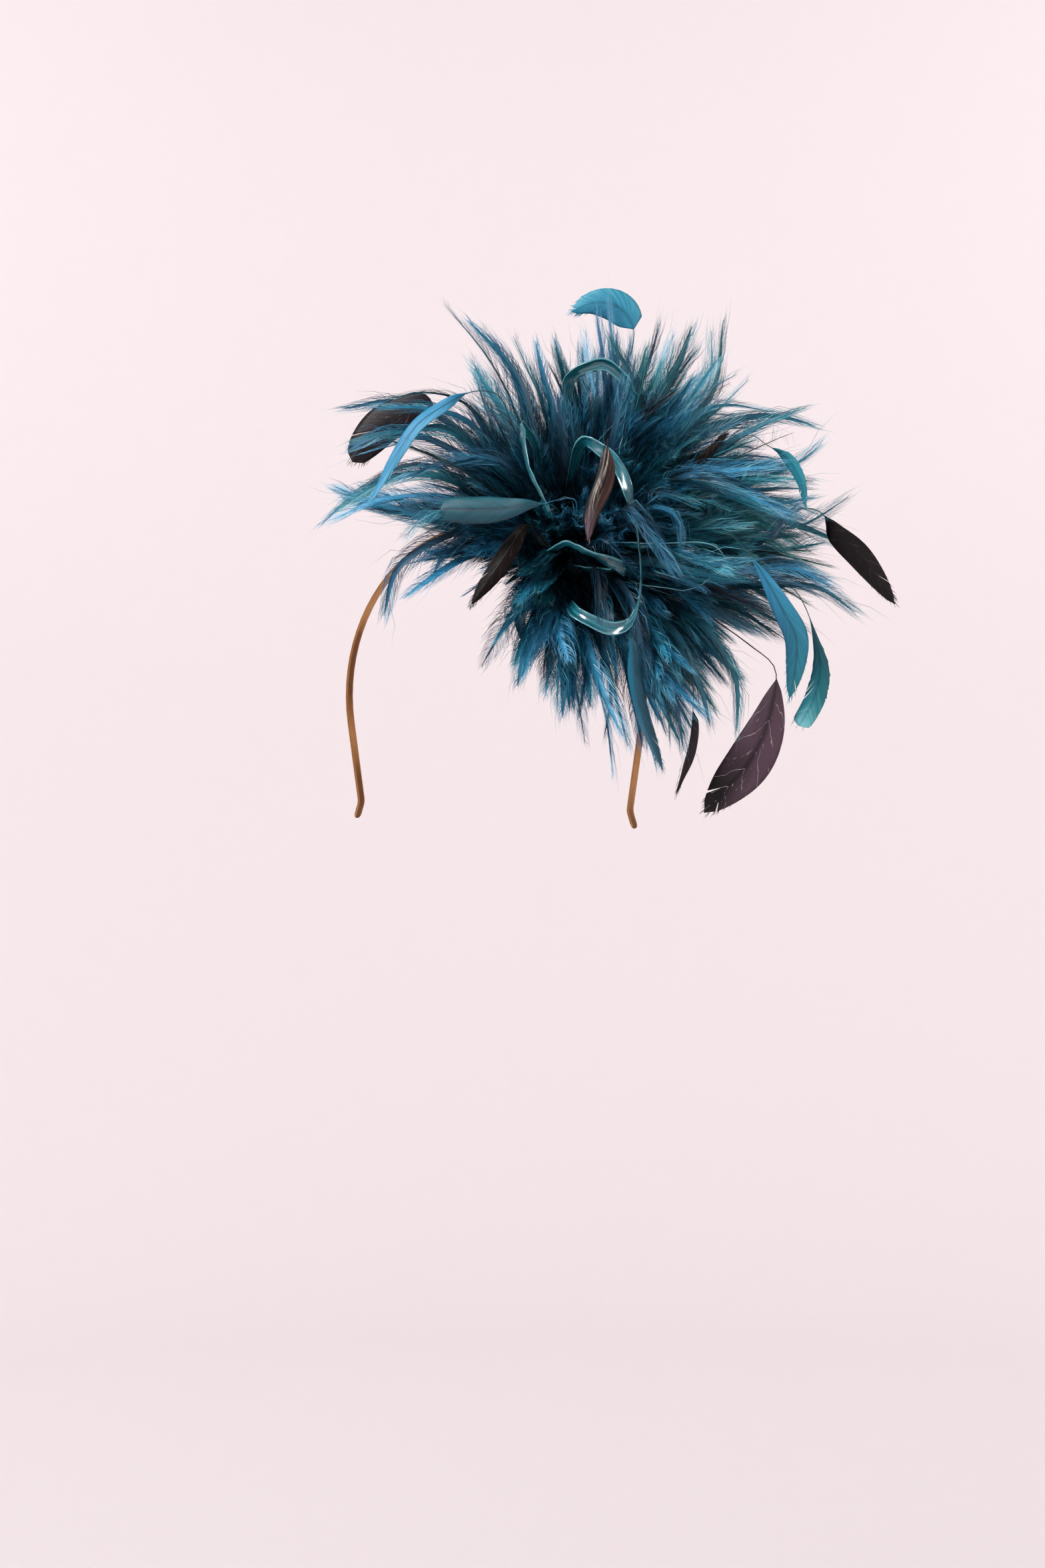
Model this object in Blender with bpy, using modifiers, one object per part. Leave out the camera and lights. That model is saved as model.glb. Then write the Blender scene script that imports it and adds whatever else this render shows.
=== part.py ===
# Feather fascinator: a thin gold headband that carries a felt base, five rows of teal hackle feathers,
# stripped plumes that stand out of them, and flat glossy quill loops.
# Metres. Origin on the inner face of the band's crown, +Z up, +X to the wearer's left, wearer facing -Y.

import math
import random

import bmesh
import bpy
from mathutils import Matrix, Vector, kdtree

MM = 0.001
GAP = 0.3 * MM

# Headband: a flat strip bent into an arch, with straight legs and flared round ends
BAND_RADIUS = 80.0 * MM
BAND_SWEEP = math.radians(99.0)
BAND_LEG = 36.0 * MM
BAND_FLARE = math.radians(28.0)
BAND_FLARE_RADIUS = 8.0 * MM
BAND_END = 6.5 * MM
BAND_WIDTH = 5.0 * MM
BAND_THICKNESS = 0.9 * MM
BAND_EDGE = 0.2 * MM
BAND_ARCH_STEPS = 22
BAND_LEG_STEPS = 4
BAND_FLARE_STEPS = 4
BAND_TIP_TURNS = (25.0, 50.0, 75.0)

# Felt base: a shallow dome that sits on the band's outer face, left of the crown and a little forward
BASE_LEAN = math.radians(37.0)
BASE_FORWARD = math.radians(9.0)
BASE_RADIUS = 29.0 * MM
BASE_THICKNESS = 2.5 * MM
BASE_RINGS = 4
BAND_CENTRE = Vector((0.0, 0.0, -BAND_RADIUS))
BASE_FACETS = 0.2 * MM
BASE_INNER = BAND_RADIUS + BAND_THICKNESS + GAP + BASE_FACETS
BASE_OUTER = BASE_INNER + BASE_THICKNESS

# The wearer's head, an ellipsoid about the band's centre that every feather stays outside
HEAD_HALF_WIDTH = BASE_INNER
HEAD_HALF_DEPTH = 97.0 * MM

# The side that the feathers are arranged to be seen from: across to the right, up, and toward the viewer
VIEW_TURN = math.radians(32.0)
ACROSS = Vector((math.cos(VIEW_TURN), math.sin(VIEW_TURN), 0.0))
TOWARD = Vector((math.sin(VIEW_TURN), -math.cos(VIEW_TURN), 0.0))
UP = Vector((0.0, 0.0, 1.0))

# Rows of hackles, from the brim of the base to its middle: the backing ring's inner and outer radius and
# its top above the base's crown (mm), the number of locks, and the angle that they rise at (degrees)
ROWS = (
    {"name": "brim_hackles", "inner": 23.2, "outer": 28.2, "top": 0.0, "locks": 20, "rise": -18.0},
    {"name": "outer_hackles", "inner": 17.9, "outer": 22.9, "top": 5.0, "locks": 18, "rise": 8.0},
    {"name": "middle_hackles", "inner": 12.6, "outer": 17.6, "top": 10.0, "locks": 16, "rise": 32.0},
    {"name": "inner_hackles", "inner": 7.3, "outer": 12.3, "top": 15.0, "locks": 13, "rise": 56.0},
    {"name": "crown_hackles", "inner": 0.0, "outer": 7.0, "top": 20.0, "locks": 6, "rise": 78.0},
)
RING_STEPS = 24
CROWN_SHOULDER = (0.7, 0.8 * MM)
CROWN_RIM_DROP = 3.0 * MM
CROWN_HOLLOW = 0.5
CROWN_LOCK_ROOT = 0.35

# Locks: six-sided lenses rooted in their ring; half width and half thickness at the root and the belly,
# where the belly starts, how bluntly the tip tapers, and the fall at one metre of reach squared
SECTION_CORNERS = 6
LOCK_DEPTH = 1.6 * MM
LOCK_DROOP = 2.2
LOCK_STATIONS = 6
LOCK_STATION_BIAS = 1.1
LOCK_ROOT = (1.4 * MM, 1.0 * MM)
LOCK_BELLY = (6.0 * MM, 2.6 * MM)
LOCK_SWELL = 38.0 * MM
LOCK_SWELL_POWER = 0.8
LOCK_TIP_POWER = 2.6
LOCK_SHORTEST = 18.0 * MM
LOCK_LONGEST = 132.0 * MM
LOCK_CLEARANCE = 1.5 * MM
LOCK_HEAD_GAP = 1.0 * MM
LOCK_STEP = 2.5 * MM
LOCK_FIRST_CLEAR = 3
LOCK_REACH_MARGIN = 1.15
LOCK_RIM_SAMPLES = 12

# How far a lock may stray: its turn round the base and its rise (degrees) and its share of droop, and the
# turns that it tries (degrees) to pass what already stands there
SEED = 7
LOCK_TURN_SPREAD = 3.0
LOCK_RISE_SPREAD = 4.0
LOCK_DROOP_SPREAD = 0.3
LOCK_TURNS = (0.0, 4.0, -4.0, 8.0, -8.0)

# Outline of the hackles seen from the viewer's side: reach (mm) from the pompom's middle by direction
# (degrees from the right, counter-clockwise)
POM_MIDDLE = (45.8 * MM, -11.4 * MM)
POM_FRONT = 124.0 * MM
OUTLINE = {0: 118, 30: 111, 45: 98, 60: 112, 90: 96, 120: 114, 150: 124, 176: 120, 200: 98,
           222: 66, 245: 72, 265: 87, 285: 104, 300: 99, 325: 97, 345: 116, 360: 118}

# Stripped plumes: the row whose ring each stands on, the vane's width and length (mm), how far along the
# vane it is widest, its twist from facing the viewer (degrees), its colour, and points on its quill from
# where it leaves the hackles to its tip, as across, up and toward (mm)
PLUMES = {
    "black_leaf_right": {
        "row": 2, "width": 13, "vane": 50, "widest": 0.45, "twist": 10, "colour": "black",
        "quill": ((139.6, 5.2, 50), (146.2, -0.1, 50), (164.1, -17.0, 52), (179.4, -37.5, 52))},
    "black_leaf_low": {
        "row": 1, "width": 21, "vane": 65, "widest": 0.45, "twist": 0, "colour": "black",
        "quill": ((120.6, -61.1, 70), (124.4, -75.0, 73), (115.7, -102.7, 76), (93.2, -128.8, 78))},
    "black_leaf_centre": {
        "row": 3, "width": 11, "vane": 45, "widest": 0.5, "twist": 25, "colour": "black",
        "quill": ((49.9, 31.5, 116), (48.2, 19.9, 126), (45.1, 4.1, 132), (41.2, -12.1, 132))},
    "brown_leaf_left": {
        "row": 1, "width": 10, "vane": 45, "widest": 0.5, "twist": 15, "colour": "brown",
        "quill": ((16.4, -3.4, 98), (5.0, -19.5, 103), (-7.8, -38.3, 104))},
    "black_leaf_far_left": {
        "row": 1, "width": 20, "vane": 52, "widest": 0.6, "twist": 0, "colour": "black",
        "quill": ((-26.0, 51.0, 38), (-37.4, 48.6, 38), (-51.5, 40.3, 36), (-62.1, 26.4, 34))},
    "black_leaf_hanging": {
        "row": 1, "width": 10, "vane": 62, "widest": 0.5, "twist": 65, "colour": "black",
        "quill": ((84.9, -57.8, 88), (87.4, -90.7, 88), (80.6, -120.1, 86))},
    "brown_leaf_inner": {
        "row": 3, "width": 9, "vane": 28, "widest": 0.5, "twist": 30, "colour": "brown",
        "quill": ((90.4, 22.4, 88), (102.2, 35.6, 88))},
    "teal_plume_top": {
        "row": 3, "width": 17, "vane": 44, "widest": 0.5, "twist": 0, "colour": "teal",
        "quill": ((62.8, 75.8, 50), (63.4, 84.1, 50), (59.2, 92.2, 50), (50.0, 95.8, 50),
                  (40.9, 94.6, 50), (35.5, 91.6, 50))},
    "teal_plume_left": {
        "row": 2, "width": 7, "vane": 66, "widest": 0.4, "twist": 15, "colour": "teal",
        "quill": ((2.9, 53.2, 84), (-14.1, 50.1, 88), (-31.5, 38.7, 92), (-41.5, 22.9, 94),
                  (-52.1, 4.3, 94))},
    "teal_plume_mid_left": {
        "row": 2, "width": 14, "vane": 52, "widest": 0.7, "twist": 10, "colour": "teal",
        "quill": ((24.4, 4.4, 110), (1.7, 2.0, 114), (-20.4, 2.3, 112))},
    "teal_plume_low_right": {
        "row": 2, "width": 11, "vane": 66, "widest": 0.5, "twist": 10, "colour": "teal",
        "quill": ((91.9, -3.1, 84), (103.0, -7.3, 88), (114.6, -20.1, 90), (124.7, -37.3, 90),
                  (132.9, -54.6, 88), (129.9, -78.9, 84))},
    "teal_plume_right": {
        "row": 1, "width": 8, "vane": 46, "widest": 0.5, "twist": 20, "colour": "teal",
        "quill": ((131.4, -29.8, 70), (138.7, -43.0, 70), (144.5, -60.5, 70), (142.8, -76.6, 70),
                  (135.5, -90.9, 70))},
    "teal_leaf_right": {
        "row": 3, "width": 7, "vane": 32, "widest": 0.5, "twist": 30, "colour": "teal",
        "quill": ((113.2, 36.0, 75), (119.8, 31.7, 76), (129.3, 25.4, 77), (135.1, 16.1, 77),
                  (137.3, 4.5, 76))},
    "teal_plume_low": {
        "row": 1, "width": 11, "vane": 64, "widest": 0.5, "twist": 10, "colour": "teal",
        "quill": ((60.3, -46.9, 104), (61.4, -64.5, 104), (65.0, -84.6, 102), (74.5, -109.2, 98))},
}
STEM_RADIUS = 0.6 * MM
PLUME_LEAD = 20.0 * MM
PLUME_HALF_THICKNESS = 0.5 * MM
PLUME_STATIONS = 12
LEAF_FULLNESS = 0.7

# Quill loops: the rows whose rings their two ends stand on and how far each end is turned round the ring
# (degrees), the twist of the strip (degrees), and points on the loop as across, up and toward (mm)
LOOPS = {
    "quill_loop_left": {
        "rows": (2, 2), "turns": (12, -24), "twist": 55,
        "strip": ((20.5, 30.0, 66), (14.7, 38.8, 78), (14.1, 36.0, 88), (17.0, 20.0, 97),
                  (22.7, 8.5, 97), (25.6, 1.0, 88))},
    "quill_loop_centre": {
        "rows": (3, 0), "turns": (-22, 0), "twist": 20,
        "strip": ((39.7, 31.6, 86), (47.0, 28.9, 93), (54.2, 21.7, 104), (58.7, 10.7, 112),
                  (62.1, -6.6, 116), (64.1, -26.3, 114), (62.0, -41.0, 110), (56.0, -48.5, 106),
                  (45.0, -45.5, 104), (36.0, -40.4, 98))},
    "quill_loop_low": {
        "rows": (1, 1), "turns": (-8, -15), "twist": 15,
        "strip": ((33.2, -11.6, 88), (40.0, -14.6, 96), (48.0, -18.0, 98), (58.0, -22.9, 92))},
    "quill_loop_top": {
        "rows": (3, 3), "turns": (0, 0), "twist": 35,
        "strip": ((34.0, 58.3, 62), (40.5, 64.5, 66), (49.6, 67.4, 68), (58.0, 60.5, 70),
                  (60.6, 50.0, 70))},
    "quill_loop_right": {
        "rows": (2, 1), "turns": (0, 0), "twist": 75,
        "strip": ((60.9, -12.7, 104), (76.9, -12.6, 108), (92.5, -12.4, 106), (99.6, -19.0, 100),
                  (87.5, -30.2, 94), (70.0, -29.0, 88))},
}
LOOP_WIDTH = 6.0 * MM
LOOP_THICKNESS = 0.9 * MM
LOOP_END_SHARE = 0.35
LOOP_LEAD = 16.0 * MM
LOOP_STATIONS = 26
LOOP_SPREAD_STATIONS = 5

CURVE_STEPS = 20
SAMPLE_STEP = 1.5 * MM
LEAST_SIDE = 0.35
SHARP_ANGLE = math.radians(40.0)

COLOURS = {
    "gold": {"colour": (0.46, 0.22, 0.075), "metallic": 1.0, "roughness": 0.28},
    "felt": {"colour": (0.012, 0.075, 0.10), "metallic": 0.0, "roughness": 0.95},
    "hackle": {"colour": (0.010, 0.105, 0.16), "metallic": 0.0, "roughness": 0.6},
    "teal": {"colour": (0.018, 0.21, 0.27), "metallic": 0.0, "roughness": 0.45},
    "black": {"colour": (0.008, 0.006, 0.008), "metallic": 0.0, "roughness": 0.4},
    "brown": {"colour": (0.030, 0.018, 0.014), "metallic": 0.0, "roughness": 0.45},
    "quill": {"colour": (0.012, 0.24, 0.28), "metallic": 0.0, "roughness": 0.2},
}


def clear_scene():
    for thing in list(bpy.data.objects):
        bpy.data.objects.remove(thing, do_unlink=True)


def new_collection(name, parent=None):
    group = bpy.data.collections.new(name)
    (parent or bpy.context.scene.collection).children.link(group)
    return group


def make_material(name):
    look = COLOURS[name]
    material = bpy.data.materials.new(name)
    material.use_nodes = True
    shader = material.node_tree.nodes["Principled BSDF"]
    shader.inputs["Base Color"].default_value = (*look["colour"], 1.0)
    shader.inputs["Metallic"].default_value = look["metallic"]
    shader.inputs["Roughness"].default_value = look["roughness"]
    return material


def finish_object(name, bm, group, material):
    # Turns edited mesh data into a named object in its collection
    bmesh.ops.recalc_face_normals(bm, faces=bm.faces)
    mesh = bpy.data.meshes.new(name)
    bm.to_mesh(mesh)
    bm.free()
    thing = bpy.data.objects.new(name, mesh)
    group.objects.link(thing)
    mesh.materials.append(material)
    return thing


def shade(thing):
    thing.data.shade_smooth()
    thing.data.set_sharp_from_angle(angle=SHARP_ANGLE)


def base_frame():
    # Middle of the base's outer face, its outward axis, and two directions in its plane: down and round
    axis = Vector((math.sin(BASE_LEAN) * math.cos(BASE_FORWARD), -math.sin(BASE_FORWARD),
                   math.cos(BASE_LEAN) * math.cos(BASE_FORWARD)))
    middle = BAND_CENTRE + BASE_OUTER * axis
    down = (-UP + UP.dot(axis) * axis).normalized()
    around = axis.cross(down)
    return middle, axis, down, around


BASE_MIDDLE, BASE_AXIS, BASE_DOWN, BASE_AROUND = base_frame()
BASE_MATRIX = Matrix.Translation(BASE_MIDDLE) @ Matrix(
    (BASE_DOWN, BASE_AROUND, BASE_AXIS)).transposed().to_4x4()


def dome_height(radius):
    # Height of the base's outer face at a radius, measured from its middle
    return math.sqrt(BASE_OUTER ** 2 - radius ** 2) - BASE_OUTER


def seen(across, up, toward):
    # A point given in millimetres as the viewer sees it
    return (across * ACROSS + up * UP + toward * TOWARD) * MM


def angle_round_base(point):
    offset = point - BASE_MIDDLE
    return math.atan2(offset.dot(BASE_AROUND), offset.dot(BASE_DOWN))


def ray_round_base(angle, rise):
    flat = math.cos(angle) * BASE_DOWN + math.sin(angle) * BASE_AROUND
    return math.cos(rise) * flat + math.sin(rise) * BASE_AXIS


def outside_head(point, clearance):
    # Moves a point out to the head's surface plus a clearance, where it lies inside
    offset = point - BAND_CENTRE
    size = math.sqrt((offset.x ** 2 + offset.z ** 2) / (HEAD_HALF_WIDTH + clearance) ** 2
                     + offset.y ** 2 / (HEAD_HALF_DEPTH + clearance) ** 2)
    return point if size >= 1.0 else BAND_CENTRE + offset / size


def smooth_curve(points, count):
    # Points spaced evenly along a Catmull-Rom curve through the given ones
    fine = []
    ends = [2.0 * points[0] - points[1], *points, 2.0 * points[-1] - points[-2]]
    for a, b, c, d in zip(ends, ends[1:], ends[2:], ends[3:]):
        for step in range(CURVE_STEPS):
            t = step / CURVE_STEPS
            fine.append(0.5 * (2.0 * b + (c - a) * t + (2.0 * a - 5.0 * b + 4.0 * c - d) * t ** 2
                               + (3.0 * b - a - 3.0 * c + d) * t ** 3))
    fine.append(points[-1].copy())
    travelled = [0.0]
    for before, after in zip(fine, fine[1:]):
        travelled.append(travelled[-1] + (after - before).length)
    even = []
    index = 0
    for number in range(count):
        target = travelled[-1] * number / (count - 1)
        while index < len(fine) - 2 and travelled[index + 1] < target:
            index += 1
        part = (target - travelled[index]) / (travelled[index + 1] - travelled[index])
        even.append(fine[index].lerp(fine[index + 1], part))
    return even, travelled[-1]


def tangents(path):
    return [(path[min(i + 1, len(path) - 1)] - path[max(i - 1, 0)]).normalized() for i in range(len(path))]


def facing_sides(path, twist):
    # Across-the-vane directions that face a feather to the viewer, turned about its quill by the twist
    sides = []
    for along in tangents(path):
        side = along.cross(TOWARD)
        if sides and side.length < LEAST_SIDE:
            side = sides[-1] - sides[-1].dot(along) * along
        else:
            side = Matrix.Rotation(twist, 3, along) @ side.normalized()
        side.normalize()
        sides.append(-side if sides and side.dot(sides[-1]) < 0.0 else side)
    return sides


def loft(bm, path, sides, halves, pointed):
    # Extrudes a flattened ring of corners along a path; halves holds half the width and thickness there
    along = tangents(path)
    made = bmesh.ops.create_circle(bm, cap_ends=True, segments=SECTION_CORNERS, radius=1.0)
    ring = made["verts"]
    unit = [vertex.co.copy() for vertex in ring]
    face = ring[0].link_faces[0]
    for index, centre in enumerate(path):
        if index:
            moved = bmesh.ops.extrude_face_region(bm, geom=[face, *face.edges, *face.verts])["geom"]
            face = next(item for item in moved if isinstance(item, bmesh.types.BMFace))
            ring = ordered_like(ring, [item for item in moved if isinstance(item, bmesh.types.BMVert)])
        lift = along[index].cross(sides[index]).normalized()
        wide, thick = halves[index]
        for vertex, place in zip(ring, unit):
            vertex.co = centre + place.x * wide * sides[index] + place.y * thick * lift
    if pointed:
        bmesh.ops.pointmerge(bm, verts=ring, merge_co=path[-1])


def ordered_like(ring, moved):
    # Extruding keeps no order, so each new corner is matched to the old one that it still lies on
    left = list(moved)
    order = []
    for vertex in ring:
        twin = min(left, key=lambda other: (other.co - vertex.co).length_squared)
        left.remove(twin)
        order.append(twin)
    return order


def leaf_widths(count, length, plume):
    # Half widths along a plume: a bare quill, then a leaf-shaped vane that ends in a point
    stem = max(0.0, 1.0 - plume["vane"] * MM / length)
    bend = math.log(0.5) / math.log(plume["widest"])
    widths = []
    for number in range(count):
        along = number / (count - 1)
        if along <= stem:
            widths.append(STEM_RADIUS)
            continue
        part = (along - stem) / (1.0 - stem)
        leaf = 0.5 * plume["width"] * MM * math.sin(math.pi * part ** bend) ** LEAF_FULLNESS
        widths.append(max(STEM_RADIUS, leaf))
    return widths


def ring_seat(row, angle, lift):
    # A place on top of a row's backing ring, a running gap above it
    ring = ROWS[row]
    middle = 0.5 * (ring["inner"] + ring["outer"]) * MM
    height = ring["top"] * MM + GAP + lift
    return BASE_MIDDLE + middle * ray_round_base(angle, 0.0) + height * BASE_AXIS


def between_rows(row, angle):
    # Direction of the free space between one row of hackles and the next one in
    rise = math.radians(0.5 * (ROWS[row]["rise"] + ROWS[row + 1]["rise"]))
    return ray_round_base(angle, rise)


def plume_path(plume):
    quill = [seen(*point) for point in plume["quill"]]
    angle = angle_round_base(quill[0])
    seat = ring_seat(plume["row"], angle, STEM_RADIUS)
    lead = seat + PLUME_LEAD * between_rows(plume["row"], angle)
    return smooth_curve([seat, lead, *quill], PLUME_STATIONS)


def loop_path(loop):
    strip = [seen(*point) for point in loop["strip"]]
    ends = []
    for row, turn, near in zip(loop["rows"], loop["turns"], (strip[0], strip[-1])):
        angle = angle_round_base(near) + math.radians(turn)
        seat = ring_seat(row, angle, 0.5 * LOOP_END_SHARE * LOOP_WIDTH)
        ends.append((seat, seat + LOOP_LEAD * between_rows(row, angle)))
    points = [ends[0][0], ends[0][1], *strip, ends[1][1], ends[1][0]]
    return smooth_curve(points, LOOP_STATIONS)


def strip_samples(path, sides, halves):
    # Points over a flat piece, close enough together to steer the locks clear of it
    samples = []
    for before, after, side, half in zip(path, path[1:], sides, halves):
        steps = max(1, int((after - before).length / SAMPLE_STEP))
        for step in range(steps):
            middle = before.lerp(after, step / steps)
            reach = max(1, int(half / SAMPLE_STEP))
            samples.extend(middle + side * half * number / reach for number in range(-reach, reach + 1))
    return samples


def make_headband(group, material):
    # Half of the arch as an open strip, mirrored, then thickened away from the head
    runs = ((BAND_RADIUS * BAND_SWEEP, BAND_SWEEP, BAND_ARCH_STEPS), (BAND_LEG, 0.0, BAND_LEG_STEPS),
            (BAND_FLARE_RADIUS * BAND_FLARE, -BAND_FLARE, BAND_FLARE_STEPS),
            (BAND_END - 0.5 * BAND_WIDTH, 0.0, 1))
    half = 0.5 * BAND_WIDTH
    stations = [(Vector((0.0, 0.0, 0.0)), half)]
    heading = 0.0
    place = Vector((0.0, 0.0, 0.0))
    for length, turn, steps in runs:
        chord = length / steps * (math.sin(0.5 * turn / steps) / (0.5 * turn / steps) if turn else 1.0)
        for _ in range(steps):
            heading += 0.5 * turn / steps
            place = place + chord * Vector((math.cos(heading), 0.0, -math.sin(heading)))
            heading += 0.5 * turn / steps
            stations.append((place, half))
    ahead = Vector((math.cos(heading), 0.0, -math.sin(heading)))
    for degrees in BAND_TIP_TURNS:
        angle = math.radians(degrees)
        stations.append((place + half * math.sin(angle) * ahead, half * math.cos(angle)))
    bm = bmesh.new()
    first = [bm.verts.new(stations[0][0] + Vector((0.0, sign * half, 0.0))) for sign in (1.0, -1.0)]
    edge = bm.edges.new(first)
    for centre, width in stations[1:]:
        made = bmesh.ops.extrude_edge_only(bm, edges=[edge])["geom"]
        edge = next(item for item in made if isinstance(item, bmesh.types.BMEdge))
        for vertex in edge.verts:
            vertex.co = centre + Vector((0.0, math.copysign(width, vertex.co.y), 0.0))
    bmesh.ops.recalc_face_normals(bm, faces=bm.faces)
    if bm.faces[:][0].normal.z < 0.0:
        bmesh.ops.reverse_faces(bm, faces=bm.faces)
    mesh = bpy.data.meshes.new("headband")
    bm.to_mesh(mesh)
    bm.free()
    band = bpy.data.objects.new("headband", mesh)
    group.objects.link(band)
    mesh.materials.append(material)
    mirror = band.modifiers.new("other_half", "MIRROR")
    mirror.merge_threshold = 0.0001
    wall = band.modifiers.new("thickness", "SOLIDIFY")
    wall.thickness = BAND_THICKNESS
    wall.offset = 1.0
    edges = band.modifiers.new("soft_edges", "BEVEL")
    edges.width = BAND_EDGE
    edges.segments = 1
    edges.limit_method = "ANGLE"
    edges.angle_limit = SHARP_ANGLE
    shade(band)


def turned(name, profile, group, material):
    # A profile of radius and height (metres) turned about the base's axis
    bm = bmesh.new()
    corners = [bm.verts.new((radius, 0.0, height)) for radius, height in profile]
    for before, after in zip(corners, corners[1:]):
        bm.edges.new((before, after))
    if profile[0][0] > 0.0:
        bm.edges.new((corners[-1], corners[0]))
    mesh = bpy.data.meshes.new(name)
    bm.to_mesh(mesh)
    bm.free()
    thing = bpy.data.objects.new(name, mesh)
    group.objects.link(thing)
    mesh.materials.append(material)
    thing.matrix_world = BASE_MATRIX
    screw = thing.modifiers.new("turn", "SCREW")
    screw.steps = RING_STEPS
    screw.render_steps = RING_STEPS
    screw.use_merge_vertices = True
    screw.merge_threshold = 0.00001
    return thing


def make_base(group, material):
    radii = [BASE_RADIUS * step / BASE_RINGS for step in range(BASE_RINGS + 1)]
    outer = [(radius, dome_height(radius)) for radius in radii]
    inner = [(radius * BASE_INNER / BASE_OUTER, math.sqrt(
        BASE_INNER ** 2 - (radius * BASE_INNER / BASE_OUTER) ** 2) - BASE_OUTER) for radius in radii]
    turned("felt_base", outer + inner[::-1], group, material)


def ring_profile(row):
    inner, outer, top = (row[key] * MM for key in ("inner", "outer", "top"))
    bottom = dome_height(outer) + GAP
    if inner == 0.0:
        shoulder = (CROWN_SHOULDER[0] * outer, top - CROWN_SHOULDER[1])
        hollow = CROWN_HOLLOW * outer
        return [(0.0, top), shoulder, (outer, top - CROWN_RIM_DROP), (outer, bottom),
                (hollow, dome_height(hollow) + GAP), (0.0, GAP)]
    return [(outer, top), (outer, bottom), (inner, dome_height(inner) + GAP), (inner, top)]


def outline_reach(angle):
    degrees = math.degrees(angle) % 360.0
    knots = sorted(OUTLINE)
    upper = next(knot for knot in knots if knot >= degrees)
    lower = max(knot for knot in knots if knot <= degrees)
    part = 0.0 if upper == lower else (degrees - lower) / (upper - lower)
    return (OUTLINE[lower] * (1.0 - part) + OUTLINE[upper] * part) * MM


def inside_outline(point):
    # True while a lock stays within the pompom's outline and depth, as the viewer sees them
    across = point.dot(ACROSS) - POM_MIDDLE[0]
    up = point.z - POM_MIDDLE[1]
    return (math.hypot(across, up) <= outline_reach(math.atan2(up, across))
            and point.dot(TOWARD) <= POM_FRONT)


def lock_halves(travelled, length):
    # Half width and thickness of a lock: narrow at its root, full before its middle, pointed at its tip
    part = travelled / length
    swell = min(1.0, travelled / LOCK_SWELL) ** LOCK_SWELL_POWER
    taper = 1.0 - part ** LOCK_TIP_POWER if part < 1.0 else 0.0
    return tuple((root + (belly - root) * swell) * taper for root, belly in zip(LOCK_ROOT, LOCK_BELLY))


def lock_course(row, angle, rise, droop):
    # Points every step along a lock's middle, from inside its ring until it leaves the outline
    ring = ROWS[row]
    share = 0.5 if ring["inner"] else CROWN_LOCK_ROOT
    middle = (ring["inner"] + share * (ring["outer"] - ring["inner"])) * MM
    root = (BASE_MIDDLE + middle * ray_round_base(angle, 0.0)
            + (ring["top"] * MM - LOCK_DEPTH) * BASE_AXIS)
    ray = ray_round_base(angle, rise)
    course = [root]
    for step in range(1, int(LOCK_LONGEST / LOCK_STEP)):
        reach = step * LOCK_STEP
        point = outside_head(root + reach * ray - droop * reach ** 2 * UP, LOCK_BELLY[1] + LOCK_HEAD_GAP)
        if reach > LOCK_SHORTEST and not inside_outline(point):
            break
        course.append(point)
    return course


def lock_sides(course):
    # Across-the-lock directions, square to its course and to the base's axis
    sides = []
    for along in tangents(course):
        side = along.cross(BASE_AXIS)
        if side.length < LEAST_SIDE and sides:
            side = sides[-1]
        sides.append(side.normalized())
    return sides


def clear_steps(course, obstacles):
    # How many steps of a course stay clear of everything that is already placed
    sides = lock_sides(course)
    along = tangents(course)
    length = LOCK_STEP * (len(course) - 1)
    for index in range(LOCK_FIRST_CLEAR, len(course)):
        wide, thick = lock_halves(LOCK_STEP * index, length * LOCK_REACH_MARGIN)
        wide += LOCK_CLEARANCE
        thick += LOCK_CLEARANCE
        lift = along[index].cross(sides[index])
        for place, _, _ in obstacles.find_range(course[index], wide):
            offset = place - course[index]
            if (offset.dot(sides[index]) / wide) ** 2 + (offset.dot(lift) / thick) ** 2 < 1.0:
                return index
    return len(course)


def tree_of(samples):
    tree = kdtree.KDTree(len(samples))
    for number, sample in enumerate(samples):
        tree.insert(sample, number)
    tree.balance()
    return tree


def lens_samples(course, sides, halves):
    samples = []
    along = tangents(course)
    for centre, side, ahead, (wide, thick) in zip(course, sides, along, halves):
        lift = ahead.cross(side)
        for number in range(LOCK_RIM_SAMPLES):
            turn = math.tau * number / LOCK_RIM_SAMPLES
            samples.append(centre + math.cos(turn) * wide * side + math.sin(turn) * thick * lift)
    return samples


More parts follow.
